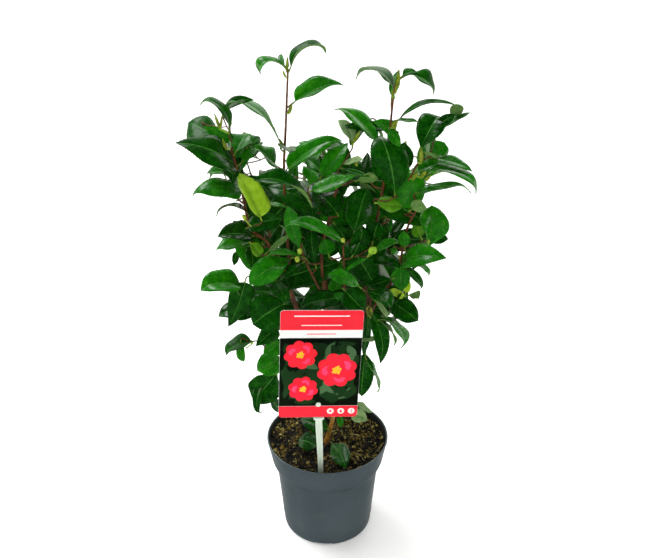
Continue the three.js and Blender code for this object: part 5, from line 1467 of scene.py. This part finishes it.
# ---------------------------------------------------------------------------
# Stage, light and camera
# ---------------------------------------------------------------------------
def make_stage():
    m = Nodes("floor_pale")
    m.base(m.ramp(m.noise(3.0, 3.0), [(0.3, (0.93, 0.93, 0.93, 1)), (0.7, (0.95, 0.95, 0.95, 1))]))
    m.set(Roughness=0.75, Emission_Strength=0.16)
    m.bsdf.inputs["Emission Color"].default_value = (1, 1, 1, 1)
    m.bump(m.noise(60, 3.0), 0.03, 0.001)
    n = 24
    x = np.linspace(-9, 9, n)
    X, Y = np.meshgrid(x, x, indexing="ij")
    V = np.stack([X.ravel(), Y.ravel(), np.full(n * n, 0.0)], 1)
    i, j = np.meshgrid(np.arange(n - 1), np.arange(n - 1), indexing="ij")
    a = (i * n + j).ravel()
    Q = np.stack([a, a + n, a + n + 1, a + 1], 1)
    floor = new_mesh("floor", V, Q.ravel(), np.arange(len(Q)) * 4, [m.mat])
    # the floor lights the plant but is not mirrored in its leaves
    floor.visible_glossy = False
    # a round white backdrop, only there to be looked at: it throws no light and no shadow
    b = Nodes("backdrop_white")
    b.base(b.ramp(b.noise(0.7, 2.0), [(0.3, (0.90, 0.90, 0.90, 1)), (0.7, (0.94, 0.94, 0.94, 1))]))
    b.set(Roughness=0.9, Emission_Strength=1.0)
    b.bsdf.inputs["Emission Color"].default_value = (0.96, 0.96, 0.96, 1)
    k, rad = 72, 8.6
    ang = np.arange(k) * 2 * np.pi / k
    ring = np.stack([rad * np.cos(ang), rad * np.sin(ang)], 1)
    V = np.vstack([np.column_stack([ring, np.full(k, z)]) for z in (0.0, 9.0)])
    i = np.arange(k)
    Q = np.stack([i, i + k, (i + 1) % k + k, (i + 1) % k], 1)
    wall = new_mesh("backdrop", V, Q.ravel(), np.arange(k) * 4, [b.mat])
    wall.visible_diffuse = wall.visible_glossy = wall.visible_transmission = wall.visible_shadow = False


def aim(ob, at):
    d = np.array(at, float) - np.array(ob.location)
    from mathutils import Vector
    ob.rotation_euler = Vector(d).to_track_quat("-Z", "Y").to_euler()


def sun(name, frm, strength, angle, colour=(1, 1, 1)):
    l = bpy.data.lights.new(name, "SUN")
    l.energy, l.angle, l.color = strength, math.radians(angle), colour
    o = bpy.data.objects.new(name, l)
    bpy.context.scene.collection.objects.link(o)
    o.location = frm
    aim(o, (0, 0, 0))
    return o


def area(name, frm, at, size, watts, colour=(1, 1, 1)):
    l = bpy.data.lights.new(name, "AREA")
    l.shape, l.size, l.energy, l.color = "SQUARE", size, watts, colour
    o = bpy.data.objects.new(name, l)
    bpy.context.scene.collection.objects.link(o)
    o.location = frm
    aim(o, at)
    return o


def make_light():
    w = bpy.data.worlds.new("studio")
    w.use_nodes = True
    bpy.context.scene.world = w
    t = w.node_tree
    bg = t.nodes["Background"]
    co = t.nodes.new("ShaderNodeTexCoord")
    sep = t.nodes.new("ShaderNodeSeparateXYZ")
    t.links.new(co.outputs["Generated"], sep.inputs[0])
    ramp = t.nodes.new("ShaderNodeValToRGB")
    e = ramp.color_ramp.elements
    e[0].position, e[0].color = 0.0, (0.002, 0.002, 0.002, 1)
    e[1].position, e[1].color = 1.0, (2.4, 2.45, 2.0, 1)
    for at, c in ((0.45, 0.01), (0.64, 0.10), (0.78, 1.1)):
        e.new(at).color = (c, c, c, 1)
    mr = t.nodes.new("ShaderNodeMath")
    mr.operation = "MULTIPLY_ADD"
    mr.inputs[1].default_value, mr.inputs[2].default_value = 0.5, 0.5
    t.links.new(sep.outputs["Y"], mr.inputs[0])
    t.links.new(mr.outputs[0], ramp.inputs["Fac"])
    t.links.new(ramp.outputs["Color"], bg.inputs["Color"])
    bg.inputs["Strength"].default_value = 0.5
    # two flat lights that leave no sheen, so the leaves keep their depth
    sun("key_over", (-0.5, 0.3, 2.4), 1.8, 80).visible_glossy = False
    area("front_fill", (-0.5, -2.2, 1.1), (0, 0, 0.3), 1.6, 21).visible_glossy = False
    sun("soft_box", (-0.9, 0.7, 2.2), 2.3, 32)
    sun("rim_back", (0.9, 2.2, 1.5), 0.5, 40)
    area("side_left", (-2.3, 0.3, 0.7), (0, 0, 0.2), 1.2, 17, (1, 1, 0.88))
    area("side_right", (2.3, 0.1, 0.6), (0, 0, 0.2), 1.2, 19, (1, 1, 0.88))


def make_camera():
    cam = bpy.data.cameras.new("camera")
    cam.sensor_width, cam.lens = 36.0, 45.02
    cam.clip_start, cam.clip_end = 0.02, 40
    o = bpy.data.objects.new("camera", cam)
    bpy.context.scene.collection.objects.link(o)
    o.location = (0.0019, -0.825, 0.7739)
    o.rotation_euler = (math.radians(90 - 27.27), 0, 0)
    bpy.context.scene.camera = o
    bpy.context.scene.view_settings.view_transform = "Standard"


make_camera()
make_light()
make_stage()
make_pot()
make_soil()
make_label()
make_limbs()
make_foliage()
